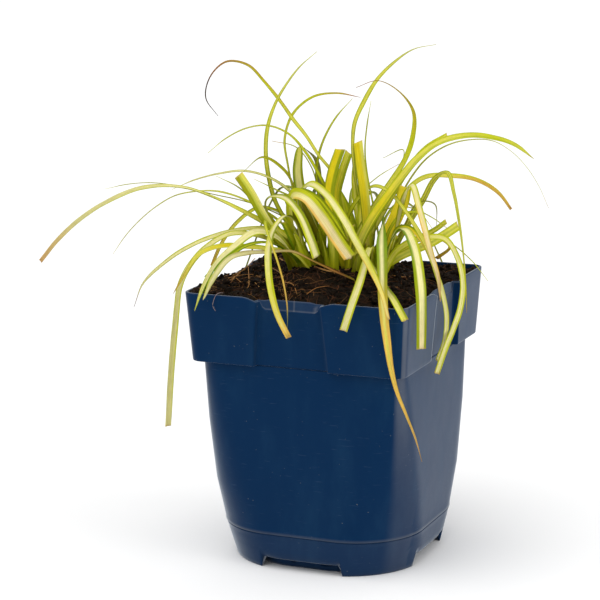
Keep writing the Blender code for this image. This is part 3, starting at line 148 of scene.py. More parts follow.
class Nodes:
    """Small helper that wires one material's shader nodes."""

    def __init__(self, name: str) -> None:
        """Start a material with a Principled shader."""
        self.material = bpy.data.materials.new(name)
        self.material.use_nodes = True
        self.tree = self.material.node_tree
        self.shader = self.tree.nodes["Principled BSDF"]
        self.output = self.tree.nodes["Material Output"]

    def add(self, kind: str, **settings: object) -> bpy.types.Node:
        """Add a node and set its plain properties.

        Args:
            kind: name of the node type.
            settings: properties of the node.

        Returns:
            The new node.
        """
        node = self.tree.nodes.new(kind)
        for key, value in settings.items():
            setattr(node, key, value)
        return node

    def link(self, source: Socket, target: Socket) -> None:
        """Join two sockets."""
        self.tree.links.new(source, target)

    def feed(self, node: bpy.types.Node, **values: object) -> bpy.types.Node:
        """Link or set a node's sockets, named with underscores for spaces.

        Args:
            node: the node.
            values: a socket, number or tuple for each named socket.

        Returns:
            The node itself.
        """
        for key, value in values.items():
            self.give(node.inputs[key.replace("_", " ")], value)
        return node

    def give(self, slot: Socket, value: object) -> None:
        """Link a socket to another, or set its own value."""
        if isinstance(value, Socket):
            self.link(value, slot)
        else:
            slot.default_value = value

    def coat(self, **values: object) -> None:
        """Feed the Principled shader."""
        self.feed(self.shader, **values)

    def attribute(self, name: str, kind: str = "Fac") -> Socket:
        """Read a mesh attribute as a number, or as a colour when kind is Color."""
        return self.add("ShaderNodeAttribute", attribute_name=name).outputs[kind]

    def place(self, scale: tuple[float, float, float] = (1.0, 1.0, 1.0)) -> Socket:
        """Object coordinates, stretched by a scale.

        Args:
            scale: factor along each axis.

        Returns:
            The socket with the scaled coordinates.
        """
        spot = self.add("ShaderNodeTexCoord").outputs["Object"]
        return self.feed(self.add("ShaderNodeMapping"), Scale=scale, Vector=spot).outputs["Vector"]

    def noise(self, vector: Socket, scale: float, detail: float,
              rough: float) -> Socket:
        """Noise over a vector.

        Args:
            vector: where the noise is read.
            scale: cells per metre.
            detail: number of finer layers.
            rough: strength of the finer layers.

        Returns:
            The socket with the noise's value.
        """
        node = self.add("ShaderNodeTexNoise")
        return self.feed(node, Scale=scale, Detail=detail, Roughness=rough, Vector=vector).outputs["Fac"]

    def grain(self, scale: float, detail: float, rough: float,
              stretch: tuple[float, float, float] = (1.0, 1.0, 1.0)) -> Socket:
        """Noise over the object's own coordinates, stretched or not."""
        return self.noise(self.place(stretch), scale, detail, rough)

    def math(self, operation: str, a: object, b: object) -> Socket:
        """Arithmetic on sockets or numbers.

        Args:
            operation: name of the operation.
            a: first socket or number.
            b: second socket or number.

        Returns:
            The result's socket.
        """
        node = self.add("ShaderNodeMath", operation=operation)
        self.give(node.inputs[0], a)
        self.give(node.inputs[1], b)
        return node.outputs[0]

    def times(self, a: object, b: object) -> Socket:
        """Product of two sockets or numbers."""
        return self.math("MULTIPLY", a, b)

    def plus(self, a: object, b: object) -> Socket:
        """Sum of two sockets or numbers."""
        return self.math("ADD", a, b)

    def ramp(self, source: Socket, low: float, high: float) -> Socket:
        """Smooth step of a value between two levels.

        Args:
            source: the value.
            low: level that gives nought.
            high: level that gives one.

        Returns:
            The stepped value's socket.
        """
        node = self.add("ShaderNodeMapRange", interpolation_type="SMOOTHSTEP")
        return self.feed(node, From_Min=low, From_Max=high, Value=source).outputs["Result"]

    def mix(self, share: object, a: object, b: object, blend: str = "MIX") -> Socket:
        """Blend two colours.

        Args:
            share: how much of the second colour, a socket or a number.
            a: first colour, a socket or a red-green-blue triple.
            b: second colour, a socket or a red-green-blue triple.
            blend: blend mode.

        Returns:
            The blended colour's socket.
        """
        node = self.add("ShaderNodeMix", data_type="RGBA", blend_type=blend)
        for index, value in ((0, share), (6, a), (7, b)):
            plain = index and not isinstance(value, Socket)
            self.give(node.inputs[index], (*value, 1.0) if plain else value)
        return node.outputs[2]

    def bump(self, height: Socket, depth: float, strength: float,
             under: Socket | None = None) -> Socket:
        """Bump from a height.

        Args:
            height: the height's socket.
            depth: metres that the full height stands for.
            strength: share of the effect.
            under: normal that this one is laid over.

        Returns:
            The normal's socket.
        """
        node = self.feed(self.add("ShaderNodeBump"), Distance=depth, Strength=strength, Height=height)
        if under is not None:
            self.feed(node, Normal=under)
        return node.outputs["Normal"]


@dataclass(frozen=True)
class LeafFinish:
    """Ribbed, satin leaf surface whose colour lies in the mesh."""

    name: str = "leaf_surface"
    ribs: float = 9.0
    roughness: float = 0.4
    through: float = 0.24
    mottle: float = 0.16

    def material(self) -> bpy.types.Material:
        """Material with fine ribs along the blade, mottling and light shining through.

        Returns:
            The material.
        """
        nodes = Nodes(self.name)
        tint = nodes.attribute("tint", "Color")
        across = nodes.attribute("across")
        along = nodes.attribute("along")
        wave = nodes.math("SINE", nodes.times(across, self.ribs * math.pi), 0.0)
        strand = nodes.add("ShaderNodeCombineXYZ")
        nodes.feed(strand, X=nodes.times(across, 5.0), Y=nodes.times(along, 0.03))
        streak = nodes.noise(strand.outputs[0], 1.6, 4.0, 0.6)
        blotch = nodes.grain(240.0, 4.0, 0.6)
        speck = nodes.ramp(nodes.grain(900.0, 2.0, 0.5), 0.68, 0.78)
        streaked = nodes.times(nodes.math("SUBTRACT", streak, 0.5), 0.5)
        mottled = nodes.times(nodes.math("SUBTRACT", blotch, 0.5), self.mottle)
        level = nodes.plus(nodes.plus(nodes.plus(nodes.times(wave, 0.05), streaked), mottled), 0.97)
        grey = nodes.feed(nodes.add("ShaderNodeCombineXYZ"), X=level, Y=level, Z=level)
        colour = nodes.mix(1.0, tint, grey.outputs[0], "MULTIPLY")
        colour = nodes.mix(nodes.times(speck, 0.18), colour, Tint.BROWN.linear())
        rough = nodes.plus(nodes.times(blotch, 0.22), self.roughness - 0.11)
        normal = nodes.bump(streak, 0.00022, 0.5, nodes.bump(wave, 0.00009, 0.55))
        nodes.coat(Base_Color=colour, Roughness=rough, Normal=normal, Specular_IOR_Level=0.11)
        warm = nodes.mix(1.0, colour, (1.0, 1.0, 0.4), "MULTIPLY")
        glow = nodes.feed(nodes.add("ShaderNodeBsdfTranslucent"), Color=warm)
        blend = nodes.add("ShaderNodeMixShader")
        blend.inputs[0].default_value = self.through
        nodes.link(nodes.shader.outputs[0], blend.inputs[1])
        nodes.link(glow.outputs[0], blend.inputs[2])
        nodes.link(blend.outputs[0], nodes.output.inputs["Surface"])
        return nodes.material


@dataclass(frozen=True)
class FibreFinish:
    """Dull fibrous plant matter, for roots and bark."""

    name: str
    dark: Tint
    light: Tint
    grain: float = 700.0
    roughness: float = 0.85

    def material(self) -> bpy.types.Material:
        """Material that mixes two tints by fibres and blotches, over the mesh's own tint.

        Returns:
            The material.
        """
        nodes = Nodes(self.name)
        tint = nodes.attribute("tint", "Color")
        fibres = nodes.grain(self.grain, 5.0, 0.65, (1.0, 1.0, 0.22))
        blotch = nodes.grain(self.grain * 0.25, 3.0, 0.5)
        share = nodes.ramp(nodes.plus(nodes.times(fibres, 0.6), nodes.times(blotch, 0.4)), 0.38, 0.66)
        colour = nodes.mix(0.6, nodes.mix(share, self.dark.linear(), self.light.linear()), tint)
        nodes.coat(Base_Color=colour, Roughness=self.roughness, Normal=nodes.bump(fibres, 0.0006, 0.8),
                   Specular_IOR_Level=0.25)
        return nodes.material


@dataclass(frozen=True)
class CompostFinish:
    """Damp, dark peat with reddish bits."""

    name: str = "damp_compost"

    def material(self) -> bpy.types.Material:
        """Material with crumb-sized and finer noise in colour, gloss and bump.

        Returns:
            The material.
        """
        nodes = Nodes(self.name)
        crumbs = nodes.grain(420.0, 6.0, 0.7)
        patches = nodes.grain(90.0, 3.0, 0.6)
        fine = nodes.grain(1600.0, 3.0, 0.6)
        colour = nodes.mix(nodes.ramp(crumbs, 0.35, 0.7), (0.003, 0.0018, 0.0011), (0.02, 0.0115, 0.006))
        colour = nodes.mix(nodes.ramp(patches, 0.52, 0.75), colour, (0.036, 0.016, 0.007))
        colour = nodes.mix(nodes.ramp(fine, 0.66, 0.78), colour, (0.10, 0.05, 0.024))
        normal = nodes.bump(fine, 0.0006, 0.8, nodes.bump(crumbs, 0.0022, 0.9))
        nodes.coat(Base_Color=colour, Roughness=nodes.plus(nodes.times(crumbs, 0.4), 0.55), Normal=normal,
                   Specular_IOR_Level=0.08)
        return nodes.material


@dataclass(frozen=True)
class PlasticFinish:
    """Thin blue moulded nursery plastic with handling marks and a painted highlight on corners and edges."""

    name: str = "moulded_blue_plastic"
    colour: tuple[float, float, float] = (0.0006, 0.0185, 0.062)
    dusty: tuple[float, float, float] = (0.0035, 0.027, 0.074)
    # grey of the painted highlight on the pot's corners and edges
    worn: tuple[float, float, float] = (0.2, 0.21, 0.23)
    roughness: float = 0.36

    def material(self) -> bpy.types.Material:
        """Material with faint mould grain, fine scuffs, dust specks, soft smears and a painted highlight from
        the mesh.

        Returns:
            The material.
        """
        nodes = Nodes(self.name)
        wide = nodes.grain(22.0, 3.0, 0.5)
        smear = nodes.grain(60.0, 5.0, 0.6, (1.0, 1.0, 0.35))
        grain = nodes.grain(1900.0, 3.0, 0.6)
        scuff = nodes.ramp(nodes.grain(520.0, 2.0, 0.5, (0.2, 0.2, 2.6)), 0.66, 0.76)
        speck = nodes.ramp(nodes.grain(640.0, 1.0, 0.4), 0.77, 0.82)
        colour = nodes.mix(nodes.ramp(smear, 0.42, 0.8), self.colour, self.dusty)
        colour = nodes.mix(nodes.times(scuff, 0.16), colour, (0.06, 0.10, 0.17))
        colour = nodes.mix(nodes.times(speck, 0.4), colour, (0.16, 0.17, 0.16))
        # painted highlight: the mesh's share, broken up by the smears, mixes the base towards pale grey
        worn = nodes.attribute("worn")
        worn = nodes.times(worn, nodes.plus(nodes.times(smear, 0.7), 0.62))
        rough = nodes.plus(nodes.times(smear, 0.22), self.roughness - 0.1)
        normal = nodes.bump(grain, 0.00003, 0.4, nodes.bump(wide, 0.0012, 0.35))
        normal = nodes.bump(scuff, 0.00004, 0.4, normal)
        nodes.coat(Base_Color=nodes.mix(worn, colour, self.worn), Normal=normal,
                   Roughness=nodes.plus(rough, nodes.times(speck, 0.3)), Specular_IOR_Level=0.035,
                   Sheen_Weight=0.6, Sheen_Roughness=0.32, Sheen_Tint=(0.86, 0.93, 1.0, 1.0))
        return nodes.material


@dataclass(frozen=True)
class FloorFinish:
    """Matt pale studio floor."""

    name: str = "studio_floor"

    def material(self) -> bpy.types.Material:
        """Almost white, matt material with the faintest unevenness.

        Returns:
            The material.
        """
        nodes = Nodes(self.name)
        soft = nodes.grain(9.0, 2.0, 0.5)
        colour = nodes.mix(soft, (0.88, 0.88, 0.88), (0.9, 0.9, 0.9))
        nodes.coat(Base_Color=colour, Roughness=0.9, Specular_IOR_Level=0.1)
        return nodes.material


def put(name: str, data: bpy.types.ID) -> bpy.types.Object:
    """Make an object of some data and bring it into the scene.

    Args:
        name: the object's name.
        data: its mesh, light or camera.

    Returns:
        The new object.
    """
    obj = bpy.data.objects.new(name, data)
    bpy.context.scene.collection.objects.link(obj)
    return obj


def band(low: int, high: int, count: int) -> list[tuple[int, int, int, int]]:
    """Faces between two closed rings of corners.

    Args:
        low: number of the first ring's first corner.
        high: number of the second ring's first corner.
        count: corners in each ring.

    Returns:
        One four-sided face per corner.
    """
    pairs = [(i, (i + 1) % count) for i in range(count)]
    return [(low + i, low + j, high + j, high + i) for i, j in pairs]


class Piece:
    """Gathers the closed parts of one visible piece."""

    def __init__(self, name: str) -> None:
        """Start with nothing in it."""
        self.name = name
        self.points: list[Array] = []
        self.faces: list[tuple[int, ...]] = []
        self.layers: dict[str, list[Array]] = {}
        self.total = 0

    def add(self, points: Array, faces: list, **layers: Array) -> None:
        """Add one closed part.

        Args:
            points: its corners in metres.
            faces: corner numbers of each face, counted within the part.
            layers: one array per attribute, with three columns for a colour.
        """
        self.points.append(np.asarray(points, float))
        self.faces += [tuple(self.total + int(i) for i in face) for face in faces]
        self.total += len(points)
        for name, rows in layers.items():
            self.layers.setdefault(name, []).append(np.asarray(rows, np.float32))

    def make(self, material: bpy.types.Material, slot: str, smooth: bool = True) -> bpy.types.Object:
        """Make the mesh object, which rides on the plant's one body.

        Args:
            material: the piece's finish.
            slot: the record's material slot; not used.
            smooth: whether faces are shaded smooth.

        Returns:
            The new object.
        """
        mesh = bpy.data.meshes.new(self.name)
        mesh.from_pydata([tuple(p) for p in np.concatenate(self.points)], [], self.faces)
        mesh.validate()
        mesh.polygons.foreach_set("use_smooth", [smooth] * len(mesh.polygons))
        mesh.materials.append(material)
        mesh.update()
        obj = put(self.name, mesh)
        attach(obj, "root")
        for name, parts in self.layers.items():
            self.paint(mesh, name, np.concatenate(parts))
        LOG.info("%s: %d faces", self.name, len(self.faces))
        return obj

    @staticmethod
    def paint(mesh: bpy.types.Mesh, name: str, rows: Array) -> None:
        """Store one point attribute on a mesh.

        Args:
            mesh: the mesh.
            name: the attribute's name.
            rows: its values, with three columns for a colour.
        """
        if rows.ndim == 2:
            full = np.ones((len(rows), 4), np.float32)
            full[:, :3] = np.clip(rows, 0.0, 1.0)
            mesh.attributes.new(name, "FLOAT_COLOR", "POINT").data.foreach_set("color", full.ravel())
        else:
            mesh.attributes.new(name, "FLOAT", "POINT").data.foreach_set("value", rows)


def ease(value: Array | float) -> Array | float:
    """Smooth step from nought to one."""
    value = np.clip(value, 0.0, 1.0)
    return value * value * (3 - 2 * value)


def blend(first: Array, second: Array, share: Array | float) -> Array:
    """Part way from one colour, or row of colours, to another."""
    return first * (1 - share) + second * share


def spline(points: Array, at: Array) -> Array:
    """Smooth curve through points, each at a whole number.

    Args:
        points: the points, one row each.
        at: places along the curve, from nought to the last point's number.

    Returns:
        One row per place.
    """
    first = 2 * points[0] - points[1]
    last = 2 * points[-1] - points[-2]
    padded = np.vstack([first, points, last])
    cell = np.clip(np.floor(at).astype(int), 0, len(points) - 2)
    t = (at - cell)[:, None]
    a, b, c, d = (padded[cell + k] for k in range(4))
    return 0.5 * (2 * b + (c - a) * t + (2 * a - 5 * b + 4 * c - d) * t ** 2
                  + (3 * b - 3 * c + d - a) * t ** 3)


def lengths(points: Array) -> Array:
    """Length from the first point to every point, along the line through them."""
    return np.concatenate([[0.0], np.cumsum(np.linalg.norm(np.diff(points, axis=0), axis=1))])


def unit(rows: Array) -> Array:
    """Rows scaled to length one."""
    return rows / np.maximum(np.linalg.norm(rows, axis=-1, keepdims=True), 1e-12)


@dataclass
class Skeleton:
    """Stations of one leaf read back from its solid, from base to tip."""

    centres: Array
    normals: Array
    spans: Array
    halves: Array

    @property
    def length(self) -> float:
        """Length along the stations, in metres."""
        return float(lengths(self.centres)[-1])


class SkeletonReader:
    """Reads the stations of blades out of a solid's closed mesh."""

    def __init__(self, node: str, seat: Vector) -> None:
        """Weld the node's corners and list their neighbours.

        Args:
            node: name of the solid.
            seat: middle of the crown, which tells base from tip.
        """
        mesh = frame["nodes"][node].data
        self.seat = np.array(seat)
        places: dict[tuple, int] = {}
        corner: list[int] = []
        points: list[tuple] = []
        for vertex in mesh.vertices:
            key = tuple(round(c, 6) for c in vertex.co)
            if key not in places:
                places[key] = len(points)
                points.append(tuple(vertex.co))
            corner.append(places[key])
        self.points = np.array(points)
        self.triangles = [tuple(corner[i] for i in polygon.vertices) for polygon in mesh.polygons]
        self.near: list[set[int]] = [set() for _ in points]
        for triangle in self.triangles:
            for a, b in itertools.permutations(triangle, 2):
                self.near[a].add(b)

    def caps(self) -> list[tuple[tuple[int, int], tuple[int, int]]]:
        """Find every end cap: two triangles that share the edge between the middles.

        Returns:
            Pairs (two middles, two edges), one for each end cap.
        """
        edges: dict[frozenset, list[int]] = {}
        for triangle in self.triangles:
            for k in range(3):
                pair = frozenset((triangle[k], triangle[(k + 1) % 3]))
                edges.setdefault(pair, []).append(triangle[(k + 2) % 3])
        found = []
        for pair, others in edges.items():
            if len(others) != 2 or len(pair) != 2:
                continue
            ring = set(pair) | set(others)
            beyond = set().union(*(self.near[i] for i in ring)) - ring
            if len(ring) == 4 and len(beyond) == 4 and others[1] not in self.near[others[0]]:
                found.append((tuple(pair), tuple(others)))
        return found

    def peel(self, middles: tuple[int, int], edges: tuple[int, int]) -> list[tuple[int, int, int, int]]:
        """Rings from a cap onwards, each as (edge, middle, edge, middle) with the roles kept.

        Args:
            middles: the cap's two middle corners.
            edges: the cap's two edge corners.

        Returns:
            The rings, as far as each has four corners joined as a blade's are.
        """
        ring = (edges[0], middles[0], edges[1], middles[1])
        rings = [ring]
        seen = set(ring)
        while True:
            beyond = set().union(*(self.near[i] for i in ring)) - seen
            if len(beyond) != 4:
                return rings
            links = [self.near[i] & beyond for i in ring]
            counts = [len(group) for group in links]
            if counts not in ([1, 3, 1, 3], [3, 1, 3, 1]):
                return rings
            single, double = ((0, 2), (1, 3)) if counts[0] == 1 else ((1, 3), (0, 2))
            following = [-1] * 4
            for k in single:
                following[k] = next(iter(links[k]))
            for k in double:
                rest = links[k] - {following[single[0]], following[single[1]]}
                if len(rest) != 1:
                    return rings
                following[k] = next(iter(rest))
            if len(set(following)) != 4:
                return rings
            ring = tuple(following)
            rings.append(ring)
            seen |= set(ring)

    def read(self, fewest: int = 4) -> list[Skeleton]:
        """Skeletons of every blade in the solid.

        Args:
            fewest: rings that a blade must have.

        Returns:
            One skeleton per blade, base first.
        """
        found: list[Skeleton] = []
        used: set[int] = set()
        runs = sorted((self.peel(*cap) for cap in self.caps()), key=len, reverse=True)
        for rings in runs:
            corners = set(itertools.chain.from_iterable(rings))
            if len(rings) < fewest or corners & used:
                continue
            used |= corners
            found.append(self.skeleton(rings))
        return found

    def skeleton(self, rings: list[tuple[int, int, int, int]]) -> Skeleton:
        """Turn rings of corners into stations, base first.

        Args:
            rings: the rings, each (edge, middle, edge, middle).

        Returns:
            The blade's stations.
        """
        shape = self.points[np.array(rings)]
        centre = shape.mean(axis=1)
        if np.linalg.norm(centre[-1] - self.seat) < np.linalg.norm(centre[0] - self.seat):
            shape, centre = shape[::-1], centre[::-1]
        tangents = unit(np.gradient(centre, axis=0))
        middle = (shape[:, 1] + shape[:, 3]) / 2
        rim = (shape[:, 0] + shape[:, 2]) / 2
        normals = rim - middle
        normals -= tangents * np.sum(normals * tangents, axis=1, keepdims=True)
        normals = unit(normals)
        spans = np.cross(tangents, normals)
        across = shape[:, 2] - shape[:, 0]
        flip = np.sign(np.sum(across * spans)) or 1.0
        across = across * flip
        halves = np.linalg.norm(across, axis=1) / 2
        return Skeleton(centre, normals, unit(across), halves)


@dataclass(frozen=True)
class Look:
    """Colours and ending of one leaf, with its sides named as they are seen from the front.

    A row of colours is a word with one letter of LETTERS for each tint, evenly spaced from base to tip.
    """

    centre: str = "C"
    left: str = "L"
    right: str = "L"
    left_share: float = 0.3
    right_share: float = 0.3
    tip: Tip = Tip.POINT
    taper: float = 12.0
    brown_from: float = 2.0
    brown: str = "B"
    seen_at: float = 0.7
    slant: float = 0.5
    wave: float = 0.25
    fold: float = 0.17
    # shade scales the whole leaf's colour: painted light and shade set leaf by leaf, raised most on leaves
    # that lie in shade
    shade: float = 1.16
    stripes: int = 2
    set_back: float = 0.0
    widen: float = 1.0
    line: float = 9.0

    @staticmethod
    def along(letters: str, share: Array) -> Array:
        """Colours of a row of tints at shares of the length.

        Args:
            letters: letters of the evenly spaced tints from base to tip.
            share: shares of the length.

        Returns:
            One colour per share.
        """
        table = np.array([LETTERS[letter].linear() for letter in letters])
        at = share * (len(table) - 1)
        return np.stack([np.interp(at, np.arange(len(table)), table[:, k]) for k in range(3)], axis=1)


LOOKS: dict[str, Look] = {
    "leaf_front_long": Look("yCCCyRT", "GDDGRRT", "GDDGRRT", 0.28, 0.36, Tip.HAIR, brown_from=0.93,
                            brown="T", stripes=1),
    "leaf_front_left": Look("yyCCyW", "LLLyyR", "LGGGLR", 0.2, 0.28, Tip.CUT, brown_from=0.95, brown="R",
                            slant=0.1),
    "leaf_front_left_thin": Look("LLLyRT", "LLLyRT", "LLLLRT", tip=Tip.POINT, brown_from=0.9, brown="g",
                                 set_back=18.0, widen=0.75),
    "leaf_right_cut_wide": Look("yyCCCCP", "DDDGG", "LGLGG", 0.3, 0.2, Tip.CUT, slant=0.1, stripes=1),
    "leaf_right_hanging": Look("LLyyCC", "GGLLL", "LLLyy", 0.18, 0.2, Tip.CUT),
    "leaf_far_right_hanging": Look("yyCCC", "LLLL", "LLLL", 0.24, 0.24, Tip.CUT, brown_from=0.98,
                                   brown="T", slant=0.1),
    "leaf_centre_hanging": Look("yCCCyW", "LLLLRR", "LLLLLR", 0.16, 0.22, Tip.CUT, brown_from=0.97,
                                brown="T", slant=0.2),
    "leaf_broad_pale": Look("LOyCPP", "OLyRRR", "LLLLL", 0.22, 0.3, Tip.TORN, stripes=1),
    "leaf_left_cut_wide": Look("OLyy", "OOGO", "LLCy", 0.5, 0.16, Tip.CUT, seen_at=0.6, line=0.1,
                               slant=0.2, shade=1.22, widen=0.92),
    "leaf_left_short_green": Look("GGL", "GDD", "GGG", tip=Tip.CUT, seen_at=0.6, set_back=16.0),
    "leaf_pale_fold": Look("OOLCCC", "dOOLLL", "OOGGGG", 0.24, 0.3, Tip.CUT, seen_at=0.85),
    "leaf_front_cut_short": Look("LyCCC", "LLLL", "LLLL", 0.16, 0.2, Tip.CUT, slant=0.1),
    "leaf_corner_cut_short": Look("LyCCy", "LLLL", "GGGG", 0.12, 0.26, Tip.CUT, slant=0.1),
    "leaf_right_short_yellow": Look("LYYY", "OYAO", "OYAO", 0.16, 0.16, Tip.CUT, seen_at=0.6, shade=1.25,
                                    widen=1.35),
    "leaf_cream_right": Look("LyCCPPT", "LLLLRPT", "LLLLLRT", 0.2, 0.2, Tip.POINT, taper=10.0, widen=0.78),
    "leaf_right_short_arch": Look("yAAy", "RAR", "DGD", tip=Tip.CUT, shade=1.2),
    "leaf_long_left_arch": Look("LyyCssT", "GLLLssT", "GGLLLsT", 0.2, 0.26, Tip.CUT, brown_from=0.985,
                                brown="U", slant=0.1),
    "leaf_thin_left_arch": Look("LLyss", "GLLs", "GLLs", 0.24, 0.24, Tip.HAIR, widen=0.85),
    "leaf_pale_left_arch": Look("yyCCs", "LLy", "LLy", 0.25, 0.25, Tip.HAIR),
    "leaf_hair_left": Look("LOLy", "OOL", "OOL", tip=Tip.HAIR),
    "leaf_curled_tip": Look("LLyyLUK", "LLLLLUK", "GLLLHUK", 0.24, 0.24, Tip.HAIR, brown_from=0.84,
                            brown="K", widen=0.92),
    "leaf_upright_left": Look("LLyys", "GGLL", "GGLL", 0.28, 0.3, Tip.HAIR, widen=0.9),
    "leaf_thin_top_arch": Look("GLLyy", "GGLL", "GGLL", 0.34, 0.34, Tip.HAIR),
    "leaf_brown_tip_arch": Look("GLLyLU", "GGLLH", "GGLLH", 0.26, 0.26, Tip.POINT, brown_from=0.93,
                                brown="U", widen=0.9),
    "leaf_thin_upright": Look("GLLy", "GGL", "GGL", 0.34, 0.34, Tip.HAIR),
    "leaf_tall_right": Look("LLyyys", "GGLL", "GGLL", 0.26, 0.3, Tip.HAIR, taper=20.0, widen=0.88),
    "leaf_hooked_tip": Look("LyyLHU", "GGLLU", "GGLLU", 0.24, 0.24, Tip.HAIR, taper=36.0, brown_from=0.9,
                            brown="U"),
    "leaf_big_right_arch": Look("LyAyyLy", "GLLLLL", "GGGLLL", 0.16, 0.24, Tip.POINT, taper=10.0,
                                seen_at=0.6, line=0.15, brown_from=0.975, brown="U"),
    "leaf_cut_right_arch": Look("Lyyy", "GGLL", "GGLL", tip=Tip.CUT, seen_at=0.6),
    "leaf_far_right_hair": Look("LLysg", "LLLs", "LLLs", 0.2, 0.2, Tip.HAIR, brown_from=0.96, brown="T",
                                widen=0.6),
    "leaf_right_brown_tip": Look("LLyyHH", "LGLLH", "LGLHH", 0.24, 0.24, Tip.CUT, brown_from=0.965,
                                 brown="U", widen=1.15),
    "leaf_kinked": Look("LyyyH", "GLLL", "GLLL", 0.2, 0.24, Tip.HAIR, brown_from=0.95, brown="T", line=0.0),
    "leaf_left_fold_cream": Look("LyCCCy", "LLCCL", "GGLbb", 0.14, 0.24, Tip.POINT, set_back=24.0,
                                 widen=0.9),
    "leaf_left_split_green": Look("GbLb", "GGb", "bbb", tip=Tip.POINT, taper=8.0, set_back=24.0, widen=1.5),
    "leaf_dry_low": Look("BUHsCCC", "KBTsL", "BUTss", 0.2, 0.2, Tip.POINT, wave=0.6, brown="T", shade=1.05,
                         widen=0.85),
    "leaf_far_left_hanging": Look("LyCsss", "LLLss", "GLLLs", 0.18, 0.22, Tip.CUT, brown_from=0.985,
                                  brown="T", widen=1.18),
    "leaf_left_yellow": Look("LyyAyH", "OLLyH", "LLyyH", 0.22, 0.24, Tip.POINT, brown_from=0.95, brown="H"),
    "leaf_left_drooping": Look("LyCCs", "LLLs", "GLLs", 0.2, 0.24, Tip.HAIR, brown_from=0.93, brown="B",
                               widen=1.15, taper=16.0),
    "leaf_left_ochre": Look("OOLyH", "OOOH", "OOLH", 0.2, 0.25, Tip.TORN),
    "leaf_upright_pair_left": Look("LAAAA", "LLOL", "OGGG", 0.12, 0.34, Tip.CUT, seen_at=0.6, stripes=1,
                                   shade=1.12),
    "leaf_upright_pair_right": Look("LyAy", "LLL", "OGG", 0.2, 0.3, Tip.CUT, seen_at=0.6, line=0.1),
    "leaf_tall_yellow": Look("LyAAA", "OGO", "LLyy", 0.14, 0.24, Tip.CUT, seen_at=0.6, shade=1.04),
    "leaf_pale_behind_yellow": Look("Lyy", "LL", "GL", tip=Tip.ROUND, seen_at=0.6),
    "leaf_wide_upright_left": Look("LyCy", "DDG", "GGG", 0.26, 0.2, Tip.ROUND, taper=5.0, seen_at=0.6),
    "leaf_olive_arch": Look("OOOL", "dOO", "OOL", tip=Tip.HAIR, seen_at=0.5),
    "leaf_right_cut_yellow": Look("Lyyy", "OLL", "LLL", 0.16, 0.2, Tip.CUT, seen_at=0.6, line=-0.1),
    "leaf_right_cut_small": Look("Lyy", "GL", "GL", tip=Tip.CUT, seen_at=0.6),
    "leaf_right_bent_back": Look("OHLH", "OH", "OH", tip=Tip.CUT, seen_at=0.6, shade=1.3, widen=1.25),
    "leaf_centre_green": Look("GLL", "GG", "DG", tip=Tip.POINT, shade=1.25),
    "leaf_olive_inner": Look("OOO", "dO", "dO", tip=Tip.CUT, seen_at=0.6, shade=1.02),
    "leaf_grey_back": Look("ggg", "gd", "gg", tip=Tip.POINT, seen_at=0.6, shade=1.02),
}
BACK_LOOKS = (Look("LyCCy", "GGG", "GGL", 0.34, 0.3, Tip.POINT),
              Look("LyCWy", "DGG", "LLL", 0.4, 0.26, Tip.HAIR, brown_from=0.93))
HAIR_LOOK = Look("GLLy", "GL", "GL", tip=Tip.HAIR)
OCHRE_HAIR_LOOK = Look("LLy", "LL", "GL", tip=Tip.HAIR, brown_from=0.88, brown="H")
CURL_LOOK = Look("OOg", "Og", "Og", tip=Tip.HAIR, shade=1.5)
INNER_LOOK = Look("OLyY", "OGL", "GGL", 0.26, 0.34, Tip.POINT, seen_at=0.6, shade=1.3, widen=1.5)
INNER_GREEN_LOOK = Look("OGLL", "OGG", "OGG", tip=Tip.POINT, seen_at=0.6, shade=1.3, widen=1.6)
SHEATH_LOOKS = (Look("dOGL", "dOG", "dGL", tip=Tip.POINT, seen_at=0.6, shade=1.25),
                Look("dOLy", "dGG", "OGL", 0.24, 0.34, Tip.POINT, seen_at=0.6, shade=1.3),
                Look("OLYL", "dOO", "OOG", tip=Tip.CUT, seen_at=0.6, shade=1.3))
STUB_LOOK = Look("OHys", "dOH", "OLL", tip=Tip.TORN, seen_at=0.6, widen=1.2)
YOUNG_KINDS = {"H": HAIR_LOOK, "O": OCHRE_HAIR_LOOK, "G": INNER_GREEN_LOOK, "I": INNER_LOOK, "C": CURL_LOOK,
               "S": STUB_LOOK}
YOUNG_LOOKS = tuple(YOUNG_KINDS[letter] for letter in "HHOGSGIGIHIHOGICHOH")


